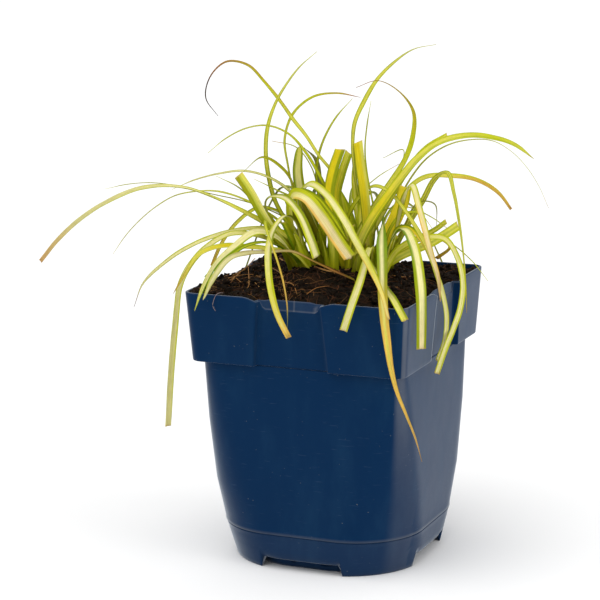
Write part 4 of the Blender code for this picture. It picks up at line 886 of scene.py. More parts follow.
@dataclass
class Camera:
    """Viewing station of the plant."""

    azimuth: float = math.radians(22.18)
    elevation: float = math.radians(14.83)
    roll: float = -0.0108
    distance: float = 1.3776
    focal: float = 2260.6
    pivot: tuple[float, float, float] = (0.0, 0.0, 0.086)
    pivot_seen: tuple[float, float] = (337.93, 408.64)
    frame_side: float = 600.0
    sensor: float = 36.0
    aiming_rounds: int = 30

    def axes(self) -> tuple[Vector, Vector, Vector, Vector]:
        """Place and axes of the station.

        Returns:
            The place, and the directions to the right, up and back.
        """
        back = Vector((math.sin(self.azimuth) * math.cos(self.elevation),
                       -math.cos(self.azimuth) * math.cos(self.elevation), math.sin(self.elevation)))
        place = Vector(self.pivot) + back * self.distance
        middle = self.frame_side / 2
        across_seen = (self.pivot_seen[0] - middle) / self.focal
        up_seen = (middle - self.pivot_seen[1]) / self.focal
        cos, sin = math.cos(self.roll), math.sin(self.roll)
        across_goal = cos * across_seen - sin * up_seen
        up_goal = sin * across_seen + cos * up_seen
        yaw, pitch = math.atan2(-back.x, -back.y), math.asin(-back.z)
        for _ in range(self.aiming_rounds):
            level = math.cos(pitch)
            forward = Vector((math.sin(yaw) * level, math.cos(yaw) * level, math.sin(pitch)))
            right = forward.cross(Vector((0.0, 0.0, 1.0))).normalized()
            up = right.cross(forward)
            depth = -back.dot(forward)
            yaw += (-back.dot(right) / depth - across_goal) / math.cos(pitch)
            pitch += -back.dot(up) / depth - up_goal
        return place, right * cos + up * sin, up * cos - right * sin, -forward

    def build(self) -> None:
        """Make the camera and look through it."""
        place, right, up, back = self.axes()
        data = bpy.data.cameras.new("station")
        data.sensor_width = self.sensor
        data.lens = self.focal / self.frame_side * self.sensor
        data.clip_end = 100.0
        camera = put("station", data)
        camera.matrix_world = Matrix.Translation(place) @ Matrix((right, up, back)).transposed().to_4x4()
        bpy.context.scene.camera = camera


@dataclass(frozen=True)
class Brush:
    """How a blade is painted; places and widths across are shares of its half width."""

    margin_wander: float = 0.14
    margin_blur: float = 0.16
    stripe_width: float = 0.09
    stripe_strength: float = 0.55
    line_width: float = 0.13
    line_strength: float = 0.75
    outline_from: float = 0.84
    outline_tint: tuple[float, float, float] = (0.6, 0.68, 0.14)
    under_shade: float = 0.9


@dataclass
class Blade:
    """One fine leaf blade over its stations."""

    skeleton: Skeleton
    look: Look
    seed: int
    view_right: Array
    away: Array
    spacing: float = 1.5 * MM
    thickness: float = 0.42 * MM
    margin_thickness: float = 0.2 * MM
    root_depth: float = 12.0 * MM
    root_steps: int = 5
    set_back_reach: float = 38.0 * MM
    hair_half: float = 0.16 * MM
    brush: Brush = field(default_factory=Brush)
    columns: tuple[float, ...] = (-1.0, -0.95, -0.84, -0.66, -0.44, -0.22,
                                  0.0, 0.22, 0.44, 0.66, 0.84, 0.95, 1.0)
    few_columns: tuple[float, ...] = (-1.0, -0.7, 0.0, 0.7, 1.0)
    thin_half: float = 0.9 * MM

    def wander(self, at: Array, scale: float, channel: float) -> Array:
        """Smooth noise along the blade, from -1 to 1.

        Args:
            at: places in metres.
            scale: length of one swing in metres.
            channel: tells separate noises apart.

        Returns:
            One value per place.
        """
        origin = self.seed * 7.31 + channel * 3.17
        return np.array([noise.noise(Vector((a / scale, origin, channel))) for a in at])

    def stations(self) -> None:
        """Fine stations: centre, normal, span, half width and length from the base."""
        bones = self.skeleton
        count = len(bones.centres)
        samples = max(16, int(bones.length / self.spacing * 1.15))
        at = np.linspace(0, count - 1, samples)
        centre = spline(bones.centres, at)
        run = lengths(centre)
        fade = (1 - ease(run / self.set_back_reach))[:, None]
        centre = centre + self.away * self.look.set_back * MM * fade
        half = np.interp(at, np.arange(count), bones.halves) * self.look.widen
        kernel = np.ones(5) / 5
        half = np.convolve(np.pad(half, 2, mode="edge"), kernel, mode="valid")
        normal = unit(spline(bones.normals, at))
        span = unit(spline(bones.spans, at))
        start = unit(centre[1] - centre[0])
        steps = np.arange(self.root_steps, 0, -1)[:, None] * self.root_depth / self.root_steps
        sink = unit(start * 0.45 + np.array([0.0, 0.0, 0.55]))
        centre = np.vstack([centre[0] - sink * steps, centre])
        half = np.concatenate([np.linspace(0.7, 1.0, self.root_steps) * half[0], half])
        normal, span = (np.vstack([rows[:1]] * self.root_steps + [rows]) for rows in (normal, span))
        tangent = unit(np.gradient(centre, axis=0))
        span = unit(span - tangent * np.sum(span * tangent, axis=1, keepdims=True))
        across = np.cross(span, tangent)
        sign = np.sign(np.sum(across * normal, axis=1, keepdims=True))
        self.normal = across * np.where(sign == 0, 1, sign)
        self.centre, self.span, self.half = centre, span, half
        self.at = lengths(centre)
        self.length = self.at[-1]
        self.shape_tip()

    def shape_tip(self) -> None:
        """Narrow the last stretch as the leaf's tip has it."""
        left = np.maximum(self.length - self.at, 0.0)
        taper = self.look.taper * MM
        if self.look.tip is Tip.POINT:
            self.half = self.half * np.clip(0.12 + 0.88 * (left / taper) ** 0.75, 0, 1)
        elif self.look.tip is Tip.HAIR:
            self.half = np.minimum(self.half, self.hair_half + self.half * ease(left / (taper * 1.8)))
        elif self.look.tip is Tip.ROUND:
            run = np.clip(1 - left / taper, 0, 1)
            self.half = self.half * np.sqrt(np.maximum(1 - run * run, 0.02))
        self.half = self.half * (1 + 0.035 * self.wander(self.at, 0.014, 1.0))

    def retreat(self, t: float) -> float:
        """How far the end falls short at a place across the blade, in metres.

        Args:
            t: place across, from -1 at the left edge to 1.

        Returns:
            The length that is missing.
        """
        wide = float(self.half[-1]) * 2
        if self.look.tip is Tip.CUT:
            jag = noise.noise(Vector((t * 2.1, self.seed * 1.7, 4.0)))
            lean = 1 + t * math.copysign(1, math.sin(self.seed * 2.3))
            return wide * self.look.slant * 0.5 * lean * 0.6 + 0.35 * MM * abs(jag)
        if self.look.tip is Tip.TORN:
            jag = noise.noise(Vector((t * 5.0, self.seed * 2.9, 6.0)))
            return 2.6 * MM * abs(jag) + 0.5 * MM * (1 + t)
        return 0.0

    def column(self, t: float, upper: float) -> tuple[Array, Array]:
        """Points along one line of the blade.

        Args:
            t: place across, from -1 at the left edge to 1.
            upper: 1 on the upper face, -1 on the lower.

        Returns:
            The points, and their lengths from the base.
        """
        ramp = ease((self.at - (self.length - 9 * MM)) / (9 * MM))
        at = self.at - self.retreat(t) * ramp
        pick = lambda rows: np.stack([np.interp(at, self.at, rows[:, k]) for k in range(3)], axis=1)
        centre, normal, span = pick(self.centre), unit(pick(self.normal)), unit(pick(self.span))
        half = np.interp(at, self.at, self.half)[:, None]
        narrow = np.clip(half / (1.2 * MM), 0.25, 1.0)
        body = self.margin_thickness + (self.thickness - self.margin_thickness) * (1 - abs(t) ** 2.5)
        body = np.minimum(body, half * 1.1) * (0.4 + 0.6 * narrow)
        rounding = math.sqrt(max(0.0, 1 - (max(abs(t) - 0.9, 0.0) / 0.1) ** 2)) if abs(t) > 0.9 else 1.0
        groove = (abs(t) ** 1.25 - 0.45) * self.look.fold * 2 * half
        keel = 0.09 * MM * math.exp(-(t / 0.13) ** 2)
        side = 5.0 if t < 0 else 9.0
        frill = self.look.wave * MM * abs(t) ** 2 * self.wander(at, 0.011, side)[:, None] * narrow
        lift = groove + frill - keel * narrow + upper * body / 2 * rounding
        return centre + span * half * t + normal * lift, at

    def mesh(self) -> tuple[Array, list, dict]:
        """Closed blade.

        Returns:
            Points, faces and the attributes tint, across and along.
        """
        self.stations()
        ts = self.columns if self.half.max() > self.thin_half else self.few_columns
        lines = [(t, 1.0) for t in ts] + [(t, -1.0) for t in reversed(ts[1:-1])]
        rows, tints, across, along = [], [], [], []
        for t, upper in lines:
            points, at = self.column(t, upper)
            rows.append(points)
            tints.append(self.tint(t, at, upper))
            across.append(np.full(len(at), t))
            along.append(at / MM)
        around, count = len(lines), len(self.at)
        order = lambda parts: np.stack(parts, axis=1).reshape(around * count, -1)
        faces = []
        for row in range(count - 1):
            faces += band(row * around, (row + 1) * around, around)
        for base, flip in ((0, True), ((count - 1) * around, False)):
            for k in range(len(ts) - 1):
                low = [base + (around - k - 1) % around, base + (around - k) % around]
                face = tuple(dict.fromkeys([base + k, base + k + 1, *low]))
                faces.append(face[::-1] if flip else face)
        return order(rows), [face[::-1] for face in faces], {
            "tint": order(tints), "across": order(across)[:, 0], "along": order(along)[:, 0]}

    def seen_side(self, t: float) -> float:
        """Place across as it is seen from the station, -1 at the left."""
        k = int(np.clip(self.look.seen_at, 0, 1) * (len(self.at) - 1))
        return t * (1.0 if self.span[k] @ self.view_right > 0 else -1.0)

    def tint(self, t: float, at: Array, upper: float) -> Array:
        """Colour along one line of the blade.

        Args:
            t: place across.
            at: lengths from the base.
            upper: 1 on the upper face, -1 on the lower.

        Returns:
            One colour per length.
        """
        share = np.clip(at / self.length, 0, 1)
        colour = self.banded(self.seen_side(t), at, share)
        colour = self.outlined(colour, t, at, share)
        colour = self.aged(colour, t, at, share)
        # look.shade is painted light and shade for the whole leaf
        return colour * self.look.shade * (1.0 if upper > 0 else self.brush.under_shade)

    def banded(self, seen: float, at: Array, share: Array) -> Array:
        """Centre colour with its margins, stripes and mid line.

        Args:
            seen: place across as it is seen.
            at: lengths from the base.
            share: the same as shares of the whole length.

        Returns:
            One colour per length.
        """
        look, brush = self.look, self.brush
        side = (look.left, look.left_share, 11.0) if seen < 0 else (look.right, look.right_share, 12.0)
        edge, width, channel = side
        border = 1 - 2 * width + brush.margin_wander * self.wander(at, 0.03, channel)
        inward = ease((abs(seen) - border) / brush.margin_blur + 0.5)[:, None]
        colour = blend(look.along(look.centre, share), look.along(edge, share), inward)
        for stripe in range(look.stripes):
            place = math.sin(self.seed * 3.7 + stripe * 2.4) * 0.5
            place = place + 0.06 * self.wander(at, 0.05, 20.0 + stripe)
            strong = ease(0.5 + 1.6 * self.wander(at, 0.035, 30.0 + stripe)) * brush.stripe_strength
            near = np.exp(-((seen - place) / brush.stripe_width) ** 2)
            line = look.along(edge if stripe % 2 else look.right, share)
            colour = blend(colour, line, (near * strong)[:, None])
        off = seen - look.line - 0.05 * self.wander(at, 0.06, 60.0)
        keel = (brush.line_strength * np.exp(-(off / brush.line_width) ** 2))[:, None]
        return blend(colour, Tint.DEEP_GREEN.linear(), keel)

    def outlined(self, colour: Array, t: float, at: Array, share: Array) -> Array:
        """Colour darkened along the blade's very edge and freckled.

        Args:
            colour: colour so far.
            t: place across.
            at: lengths from the base.
            share: the same as shares of the whole length.

        Returns:
            One colour per length.
        """
        brush = self.brush
        half = np.interp(at, self.at, self.half)[:, None]
        border = brush.outline_from - 0.26 * np.clip((2.3 * MM - half) / (1.5 * MM), 0, 1)
        uneven = 0.76 + 0.24 * self.wander(at, 0.02, 61.0 + t)[:, None]
        outline = ease((abs(t) - border) / brush.margin_blur) * uneven
        outline = outline * (1 - ease((share - 0.9) / 0.1))[:, None]
        colour = blend(colour, colour * np.array(brush.outline_tint), outline)
        fine, coarse = self.wander(at, 0.006, 40.0 + t), self.wander(at, 0.04, 41.0)
        return colour * (1 + 0.1 * fine[:, None] + 0.07 * coarse[:, None])

    def aged(self, colour: Array, t: float, at: Array, share: Array) -> Array:
        """Colour with the brown tip, the dried cut and an olive base, painted shade where the blades go into
        the crown.

        Args:
            colour: colour so far.
            t: place across.
            at: lengths from the base.
            share: the same as shares of the whole length.

        Returns:
            One colour per length.
        """
        look = self.look
        ragged = 0.05 * self.wander(at, 0.01, 50.0 + t * 3)
        brown = ease((share - look.brown_from + ragged) / 0.05)[:, None]
        dark = LETTERS[look.brown].linear() * (1 - 0.4 * ease((share - 0.96) / 0.04))[:, None]
        colour = blend(colour, dark, brown)
        if look.tip in (Tip.CUT, Tip.TORN):
            rim = ease((at - (self.length - 1.6 * MM)) / (1.2 * MM) + 0.6 * ragged)[:, None] * 0.6
            colour = blend(colour, Tint.TAN.linear(), rim)
        # painted shade: the base is blended to olive where the blades sink into the crown
        root = (1 - ease((at - 9 * MM) / (14 * MM)))[:, None] * 0.6
        return blend(colour, Tint.OLIVE.linear(), root)


@dataclass
class Foliage:
    """Every leaf of the plant, each in place of its solid."""

    view_right: Array
    away: Array
    seat: Vector
    sheath_count: int = 60
    sheath_stations: int = 7
    sheath_spread: tuple[float, float] = (29 * MM, 26 * MM)
    dry: tuple[str, ...] = ("leaf_dry_low", "leaf_left_ochre")
    material: bpy.types.Material = field(default_factory=lambda: LeafFinish().material())

    def build(self) -> None:
        """Make all leaves, each in place of its solid."""
        for index, node in enumerate(sorted(n for n in frame["nodes"] if n.startswith("leaf_"))):
            look = LOOKS.get(node) or BACK_LOOKS[index % len(BACK_LOOKS)]
            bones = SkeletonReader(node, self.seat).read()[0]
            slot = "leaf_dry" if node in self.dry else "leaf_variegated"
            name = node.replace("leaf_", "blade_", 1)
            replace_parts(self.leaves(name, [(bones, look, 11 + index)], slot), node)
        sprouts = SkeletonReader("crown", self.seat).read()
        for index, bones in enumerate(sorted(sprouts, key=lambda b: tuple(b.centres[-1]))):
            look = YOUNG_LOOKS[min(index, len(YOUNG_LOOKS) - 1)]
            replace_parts(self.leaves(f"young_blade_{index + 1}", [(bones, look, 101 + index)]), "crown")
        rng = np.random.default_rng(77)
        short = [(self.sheath(rng), SHEATH_LOOKS[index % len(SHEATH_LOOKS)], 301 + index)
                 for index in range(self.sheath_count)]
        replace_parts(self.leaves("leaf_sheaths", short), "crown")

    def sheath(self, rng: np.random.Generator) -> Skeleton:
        """Stations of one short sheath that stands in the tuft and leans outwards.

        Args:
            rng: chance.

        Returns:
            The sheath's stations.
        """
        side, deep = rng.uniform(-1, 1), rng.uniform(-0.3, 0.6)
        height = rng.uniform(16, 31) * (1 - 0.3 * abs(side)) * MM
        lean = 0.36 * side + rng.normal(0, 0.08)
        up = np.array([0.0, 0.0, 1.0])
        rise = unit(up + self.view_right * math.tan(lean) + self.away * rng.normal(0.05, 0.12))
        across, depth = self.view_right * self.sheath_spread[0], self.away * self.sheath_spread[1]
        base = np.array(self.seat) + across * side + depth * deep + up * 3 * MM
        share = np.linspace(0, 1, self.sheath_stations)[:, None]
        centres = base + rise * height * share + self.view_right * side * height * 0.2 * share ** 2
        turn = rng.normal(0, 0.5)
        span = self.view_right * math.cos(turn) + self.away * math.sin(turn)
        normal = np.cross(span, rise)
        halves = rng.uniform(1.9, 3.1) * MM * (1 - 0.3 * share[:, 0])
        normals, spans = (np.tile(row, (self.sheath_stations, 1)) for row in (normal, span))
        return Skeleton(centres, normals, spans, halves)

    def leaves(self, name: str, blades: list[tuple[Skeleton, Look, int]],
               slot: str = "leaf_variegated") -> bpy.types.Object:
        """Make one piece of one or more blades.

        Args:
            name: the piece's name.
            blades: stations, look and chance of each blade.
            slot: the record's material slot.

        Returns:
            The object.
        """
        piece = Piece(name)
        for bones, look, seed in blades:
            points, faces, layers = Blade(bones, look, seed, self.view_right, self.away).mesh()
            piece.add(points, faces, **layers)
        return piece.make(self.material, slot)


@dataclass(frozen=True)
class PaintedHighlight:
    """Shares of painted highlight on the plastic, with turns in degrees and lengths in millimetres."""

    turn_from: float = 42.0
    turn_rise: float = 13.0
    turn_to: float = 66.0
    turn_fall: float = 22.0
    collar: float = 0.4
    body_low: float = 0.1
    body_more: float = 0.22
    foot: float = 0.035
    foot_corner: float = 0.1
    foot_top: float = 22.7
    rim_keep: float = 0.7
    rim: float = 0.05
    groove: float = 0.2
    edge: float = 0.22
    rib: float = 0.25
    rib_half: float = 0.5


@dataclass
class PotShell:
    """Square moulded pot with a dipped collar, foot notches and sunken floor; sizes in millimetres."""

    height: float = 167.0
    rim_half: float = 70.0
    collar_bottom_half: float = 67.2
    collar_drop: float = 41.5
    body_levels: tuple[float, ...] = (0.0, 22.1, 50.2, 87.85, 125.5)
    body_halves: tuple[float, ...] = (59.0, 62.1, 64.3, 64.6, 63.6)
    rim_radius: float = 7.0
    body_top_radius: float = 13.0
    foot_radius: float = 48.0
    wall: float = 1.8
    recess_depth: float = 3.7
    recess_half_top: float = 19.0
    recess_half_bottom: float = 22.5
    recess_step: float = 1.1
    recess_shifts: tuple[float, ...] = (-2.5, 4.0, 2.5, -4.0)
    shoulder_run: float = 9.0
    lip_drop: float = 7.0
    lip_bend: float = 3.8
    lip_run: float = 4.6
    shoulder_drop: float = 2.4
    tab_half: float = 12.0
    tab_drop: float = 1.0
    notch_half: float = 25.5
    notch_height: float = 6.8
    floor_top: float = 11.0
    channel_top: float = 9.0
    pad_half: float = 50.5
    slots: tuple[tuple[float, float], ...] = ((-9.0, 2.4), (12.5, 7.0))
    slot_rings: tuple[int, int] = (5, 6)
    ribs: tuple[float, float] = (2.5, 15.5)
    ledge: tuple[tuple[float, float], ...] = ((-0.3, -0.15), (0.0, 2.0), (0.0, 0.5), (0.15, 0.12), (0.6, 0.0))
    rim_edge: tuple[tuple[float, float], ...] = ((0.7, 0.0), (0.2, 0.12), (0.0, 0.45))
    groove: tuple[tuple[float, float], ...] = ((21.8, -0.1), (22.0, 0.4), (22.35, 0.4), (22.6, -0.25))
    counts: tuple[int, ...] = (18, 9, 3, 4, 15, 15, 4, 3, 9, 18)
    # shares of the painted highlight on corners and edges
    worn: PaintedHighlight = field(default_factory=PaintedHighlight)
    finish: PlasticFinish = field(default_factory=PlasticFinish)

    def stations(self, half: float, radius: float, recess_half: float, centre: float) -> Array:
        """Dense places along one wall, closer towards its corners and where its shape changes.

        Args:
            half: half width of the square.
            radius: corner radius.
            recess_half: half width of the recess.
            centre: middle of the recess.

        Returns:
            The places, from one corner to the next.
        """
        corner = half - radius + radius * math.sin(math.pi / 4)
        edge = recess_half + self.recess_step
        inner = [-edge - self.shoulder_run, -edge, -recess_half, -self.tab_half, 0.0]
        inner += [-value for value in reversed(inner[:-1])]
        knots = [float(np.clip(centre + value, 0.8 - corner, corner - 0.8)) for value in inner]
        knots = [-corner, *knots, corner]
        places = []
        for index, (a, b, count) in enumerate(zip(knots[:-1], knots[1:], self.counts)):
            share = np.arange(count) / count
            if index == 0:
                share = 1 - np.cos(share * math.pi / 2)
            elif index == len(self.counts) - 1:
                share = np.sin(share * math.pi / 2)
            places.append(a + (b - a) * share)
        return np.concatenate(places)

    def ring(self, half: float, radius: float, level: float, recess: float = 0.0, recess_half: float = 22.5,
             drop: Drop = Drop.LEVEL, inset: float = 0.0) -> Array:
        """Closed ring round the pot.

        Args:
            half: half width of the square.
            radius: corner radius.
            level: height.
            recess: depth of the collar's recesses.
            recess_half: half width of a recess.
            drop: how the ring falls or rises along the sides.
            inset: distance inside the outer wall, which widens the recess.

        Returns:
            The ring's points in millimetres.
        """
        rows = []
        half, radius = half - inset, max(1.0, radius - inset)
        for side, shift in enumerate(self.recess_shifts):
            centre = shift * (min(1.0, (half - radius) / 30.0) if radius > 20 else 1.0)
            s = self.stations(half, radius, recess_half + inset, centre)
            beyond = np.maximum(0.0, np.abs(s) - (half - radius))
            out = half - radius + np.sqrt(np.maximum(0.0, radius * radius - beyond * beyond))
            off = np.abs(s - centre)
            past = off - recess_half
            out = out - recess * (1 - ease((past - inset) / self.recess_step))
            z = np.full(len(s), level)
            if drop in (Drop.RIM, Drop.TAB):
                lip = 1 - np.clip((past + self.lip_bend) / self.lip_run, 0, 1) ** 2.2
                shoulder = (1 - np.clip((past - self.recess_step) / self.shoulder_run, 0, 1)) ** 1.6
                fall = np.maximum(self.lip_drop * lip, self.shoulder_drop * shoulder)
                if drop is Drop.TAB:
                    fall = np.minimum(fall, self.tab_drop + 0.8 * ease((off - self.tab_half) / 5.0))
                z = z - fall
            if drop is Drop.FOOT:
                z = z + self.notch_height * (1 - ease((off - self.notch_half + 0.5) / 1.0))
            cos, sin = math.cos(side * math.pi / 2), math.sin(side * math.pi / 2)
            rows.append(np.stack([s * cos + out * sin, s * sin - out * cos, z], axis=1))
        return np.concatenate(rows)

    def around(self, level: float, inset: float = 0.0, shrink: float = 0.0, drop: Drop = Drop.LEVEL) -> Array:
        """Ring of the body's or the collar's wall.

        Args:
            level: height, which tells the body from the collar over it.
            inset: distance inside the outer wall.
            shrink: how much smaller the square is.
            drop: how the ring falls or rises.

        Returns:
            The ring's points in millimetres.
        """
        if level < self.body_levels[-1]:
            half = float(np.interp(level, self.body_levels, self.body_halves)) - shrink
            radii = (self.foot_radius, self.body_top_radius)
            radius = float(np.interp(level, (0.0, self.body_levels[-1]), radii))
            recess_half = self.notch_half - 0.5 if level < 15 else self.recess_half_bottom
            return self.ring(half, radius, level, 0.0, recess_half, drop, inset)
        share = (level - self.body_levels[-1]) / self.collar_drop
        half = self.collar_bottom_half + (self.rim_half - self.collar_bottom_half) * share - shrink
        recess_half = self.recess_half_bottom + (self.recess_half_top - self.recess_half_bottom) * share
        return self.ring(half, self.rim_radius, level, self.recess_depth, recess_half, drop, inset)

    def build(self) -> None:
        """Make the pot, ring by ring from under its wall over the rim to its floor."""
        top, under, wall, around = self.height, self.body_levels[-1], self.wall, self.around
        foot, rim, tab = Drop.FOOT, Drop.RIM, Drop.TAB
        rings = [around(0.0, shrink=0.35, drop=foot), around(0.3, drop=foot), around(3.0, drop=foot)]
        rings[2][:, 2] = 3.0 + (rings[1][:, 2] - 0.3) * 0.75
        rings += [around(z) for z in (9.5, 12.0, 15.2, 18.5, 21.4)]
        rings += [around(z, shrink=cut) for z, cut in self.groove]
        rings += [around(z) for z in (24.5, 30.0, 40.0, 50.0, 62.0, 75.0, 88.0, 100.0, 112.0, 120.0, 124.6)]
        rings += [around(under + rise, shrink=cut) for rise, cut in self.ledge]
        rings += [around(z) for z in (128.0, 132.0, 138.0, 145.0, 152.0, 158.0)]
        rings += [around(top - fall, shrink=cut, drop=rim) for fall, cut in self.rim_edge]
        edges = [rings[-1]]
        outer, inner = around(top, shrink=0.55, drop=rim), around(top, inset=wall - 0.6, drop=tab)
        rings += [outer + (inner - outer) * share for share in (0.16, 0.5, 0.84)]
        rings.append(around(top, inset=wall - 0.55, drop=tab))
        edges.append(rings[-1])
        rings += [around(top - 0.25, inset=wall - 0.1, drop=tab), around(top - 1.0, inset=wall, drop=tab)]
        levels = (155.0, 145.0, 130.0, 124.0, 88.0, 50.0, 22.0, self.floor_top)
        rings += [around(z, inset=wall) for z in levels]
        pad_radius = self.foot_radius - (self.body_halves[0] - self.pad_half)
        pad = lambda level, smaller: self.ring(self.pad_half - smaller, pad_radius - smaller, level)
        rings += [pad(self.floor_top, wall), pad(2.0, wall + 0.4)]
        below = [around(0.0, inset=wall - 0.3, drop=foot), around(0.4, inset=wall, drop=foot)]
        below.append(around(self.channel_top, inset=wall))
        below += [pad(z, 0.0) for z in (self.channel_top, 7.6, 7.4, 3.1, 2.9)] + [pad(0.0, 0.4)]
        self.open_slots([below[i] for i in self.slot_rings])
        count = len(rings[0])
        stack = list(reversed(below)) + rings
        self.edge_rings = [i for i, ring in enumerate(stack) if any(ring is edge for edge in edges)]
        last = (len(stack) - 1) * count
        faces = [face for start in range(0, last, count) for face in band(start, start + count, count)]
        faces += [tuple(reversed(range(count))), tuple(range(last, last + count))]
        piece = Piece("pot_shell")
        # each point carries its share of painted highlight
        piece.add(np.concatenate(stack) * MM, faces, worn=self.paint_highlight(stack))
        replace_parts(piece.make(self.finish.material(), "pot_plastic"), "pot")

    def paint_highlight(self, stack: list[Array]) -> Array:
        """Share of painted highlight at every point: on the corners, most on those towards the front and
        right, and along the rim's edges, the mould groove, the ribs and the foot.

        Args:
            stack: all rings from below to above.

        Returns:
            One value per point.
        """
        worn = self.worn
        shares = []
        for ring in stack:
            run = np.roll(ring, -1, axis=0) - np.roll(ring, 1, axis=0)
            turned = np.degrees(np.arctan2(np.abs(run[:, 1]), np.abs(run[:, 0])))
            across = np.abs(ring[:, :2])
            # painted highlight on the corners: a band past the turn of each corner, brightest on the corners
            # towards the front and right
            corner = ease((turned - worn.turn_from) / worn.turn_rise)
            corner = corner * (1 - ease((turned - worn.turn_to) / worn.turn_fall))
            corner = corner * (across.min(axis=1) > 0.55 * across.max(axis=1))
            corner = corner * (0.15 + 0.85 * ease((ring[:, 0] - ring[:, 1]) / 80.0 - 0.3))
            level = float(ring[:, 2].max())
            # fainter painted highlight over the foot, and a line of it on the mould groove
            if level <= worn.foot_top:
                share = worn.foot + corner * worn.foot_corner
            elif level <= self.body_levels[-1]:
                share = corner * (worn.body_low + worn.body_more * float(ease((level - 40.0) / 85.0)))
            else:
                share = corner * worn.collar
            if level > self.height - 0.24:
                share = share * worn.rim_keep + worn.rim
            shares.append(share + worn.groove * (22.5 < level < worn.foot_top))
        # painted highlight along the rim's edge lines and on the small ribs by the rim
        first, last = self.edge_rings
        for index in self.edge_rings:
            shares[index] = shares[index] + worn.edge
        for index in range(first, last + 1):
            for side, shift in enumerate(self.recess_shifts):
                s, out = self.facing(stack[index], side)
                for rib in self.ribs:
                    near = (np.abs(s - shift - rib) < worn.rib_half) & (out > 60.0)
                    shares[index] = shares[index] + worn.rib * near
        return np.concatenate(shares)

    @staticmethod
    def facing(ring: Array, side: int) -> tuple[Array, Array]:
        """Places of a ring's points along one side of the pot, and outwards from its middle."""
        cos, sin = math.cos(side * math.pi / 2), math.sin(side * math.pi / 2)
        return ring[:, 0] * cos + ring[:, 1] * sin, ring[:, 0] * sin - ring[:, 1] * cos

    def open_slots(self, rings: list[Array]) -> None:
        """Push the drain slots into the side of the floor pad.

        Args:
            rings: the pad's rings between the slots' top and bottom.
        """
        for ring in rings:
            for side in range(4):
                turn = side * math.pi / 2
                s, out = self.facing(ring, side)
                for across, width in self.slots:
                    inside = (np.abs(s - across) < width / 2) & (out > self.pad_half - 6)
                    ring[inside, 0] -= math.sin(turn) * 3.0
                    ring[inside, 1] += math.cos(turn) * 3.0


# Routes of the plainest roots as they are seen from the station, and their radii in millimetres
ROOT_TRACES = (
    (((255, 259), (247.5, 268.3), (235, 279), (229, 286.5)), 0.3),
    (((248.3, 267), (249, 281.7), (248.3, 289), (243, 291)), 0.28),
    (((228, 279), (240, 277.5), (253, 276.7), (265, 280)), 0.3),
    (((253, 281.7), (257, 286.7), (261, 290)), 0.26),
    (((283, 282.5), (293, 286.7), (297, 295)), 0.3), (((306.7, 295), (316.7, 290), (330, 286.7)), 0.28),
    (((278, 258), (283, 262.5), (287, 263)), 0.4), (((233, 276), (245, 271.7), (251, 266)), 0.34),
    (((230, 281), (236, 278), (241, 274)), 0.26), (((232, 274), (236, 280), (241, 283)), 0.26),
    (((298, 264), (310, 267.5), (323, 271.7), (335, 274), (350, 270)), 0.75),
    (((300, 260), (308, 263), (318, 266), (328, 270), (338, 277)), 0.4),
    (((392, 276), (402, 279), (411, 277)), 0.26),
    (((262, 266), (272, 270), (281, 276), (286, 283)), 0.24), (((380, 284), (389, 289), (398, 288)), 0.24),
)
# Route of the pale root that hangs over the rim at the left, in millimetres
RIM_ROOT = ((-44.6, -66.4, 167.9), (-46.0, -69.0, 168.2), (-47.2, -70.8, 167.2), (-48.8, -71.1, 163.4),
            (-49.2, -71.0, 160.6), (-47.6, -70.9, 157.8))


class Tubes(Piece):
    """A piece of thin tubes."""

    def __init__(self, name: str, sides: int = 5) -> None:
        """Start empty, with a number of sides for each tube."""
        super().__init__(name)
        self.sides = sides

    def tube(self, route: Array, first: float, last: float, tint: Array, flat: float = 1.0) -> None:
        """Add a tapering closed tube.

        Args:
            route: points in millimetres.
            first: radius at the start.
            last: radius at the end.
            tint: colour.
            flat: height of the section as a share of its width.
        """
        count, sides = len(route), self.sides
        fine = spline(np.asarray(route, float), np.linspace(0, count - 1, count * 3 - 2))
        tangent = unit(np.gradient(fine, axis=0))
        side = unit(np.cross(tangent, np.array([0.0, 0.02, 1.0])) + 1e-6)
        up = np.cross(side, tangent)
        end = (len(fine) - 1) * sides
        points = []
        for k, (place, a, b) in enumerate(zip(fine, side, up)):
            radius = first + (last - first) * k / (len(fine) - 1)
            for angle in (2 * math.pi * n / sides for n in range(sides)):
                points.append(place + radius * (a * math.cos(angle) + b * math.sin(angle) * flat))
        tints = [tint * (0.85 + 0.3 * (n % 2)) for n in range(sides)] * len(fine)
        rows = [face for row in range(0, end, sides) for face in band(row + sides, row, sides)]
        faces = [(d, a, b, c) for a, b, c, d in rows]
        faces += [tuple(range(sides)), tuple(end + n for n in reversed(range(sides)))]
        self.add(np.array(points) * MM, faces, tint=np.array(tints))


# Corners and faces of a crumb: a top, two rings of five and a bottom
LUMP_CORNERS = ((0, 0, 1), (0.89, 0, 0.45), (0.28, 0.85, 0.45), (-0.72, 0.53, 0.45), (-0.72, -0.53, 0.45),
                (0.28, -0.85, 0.45), (0.72, 0.53, -0.45), (-0.28, 0.85, -0.45), (-0.89, 0, -0.45),
                (-0.28, -0.85, -0.45), (0.72, -0.53, -0.45), (0, 0, -1))
LUMP_FACES = [(0, i, i % 5 + 1) for i in range(1, 6)] + [(i, i + 5, i % 5 + 1) for i in range(1, 6)]
LUMP_FACES += [(i, i % 5 + 6, (i - 5) % 5 + 1) for i in range(6, 11)]
LUMP_FACES += [(11, i % 5 + 6, i) for i in range(6, 11)]


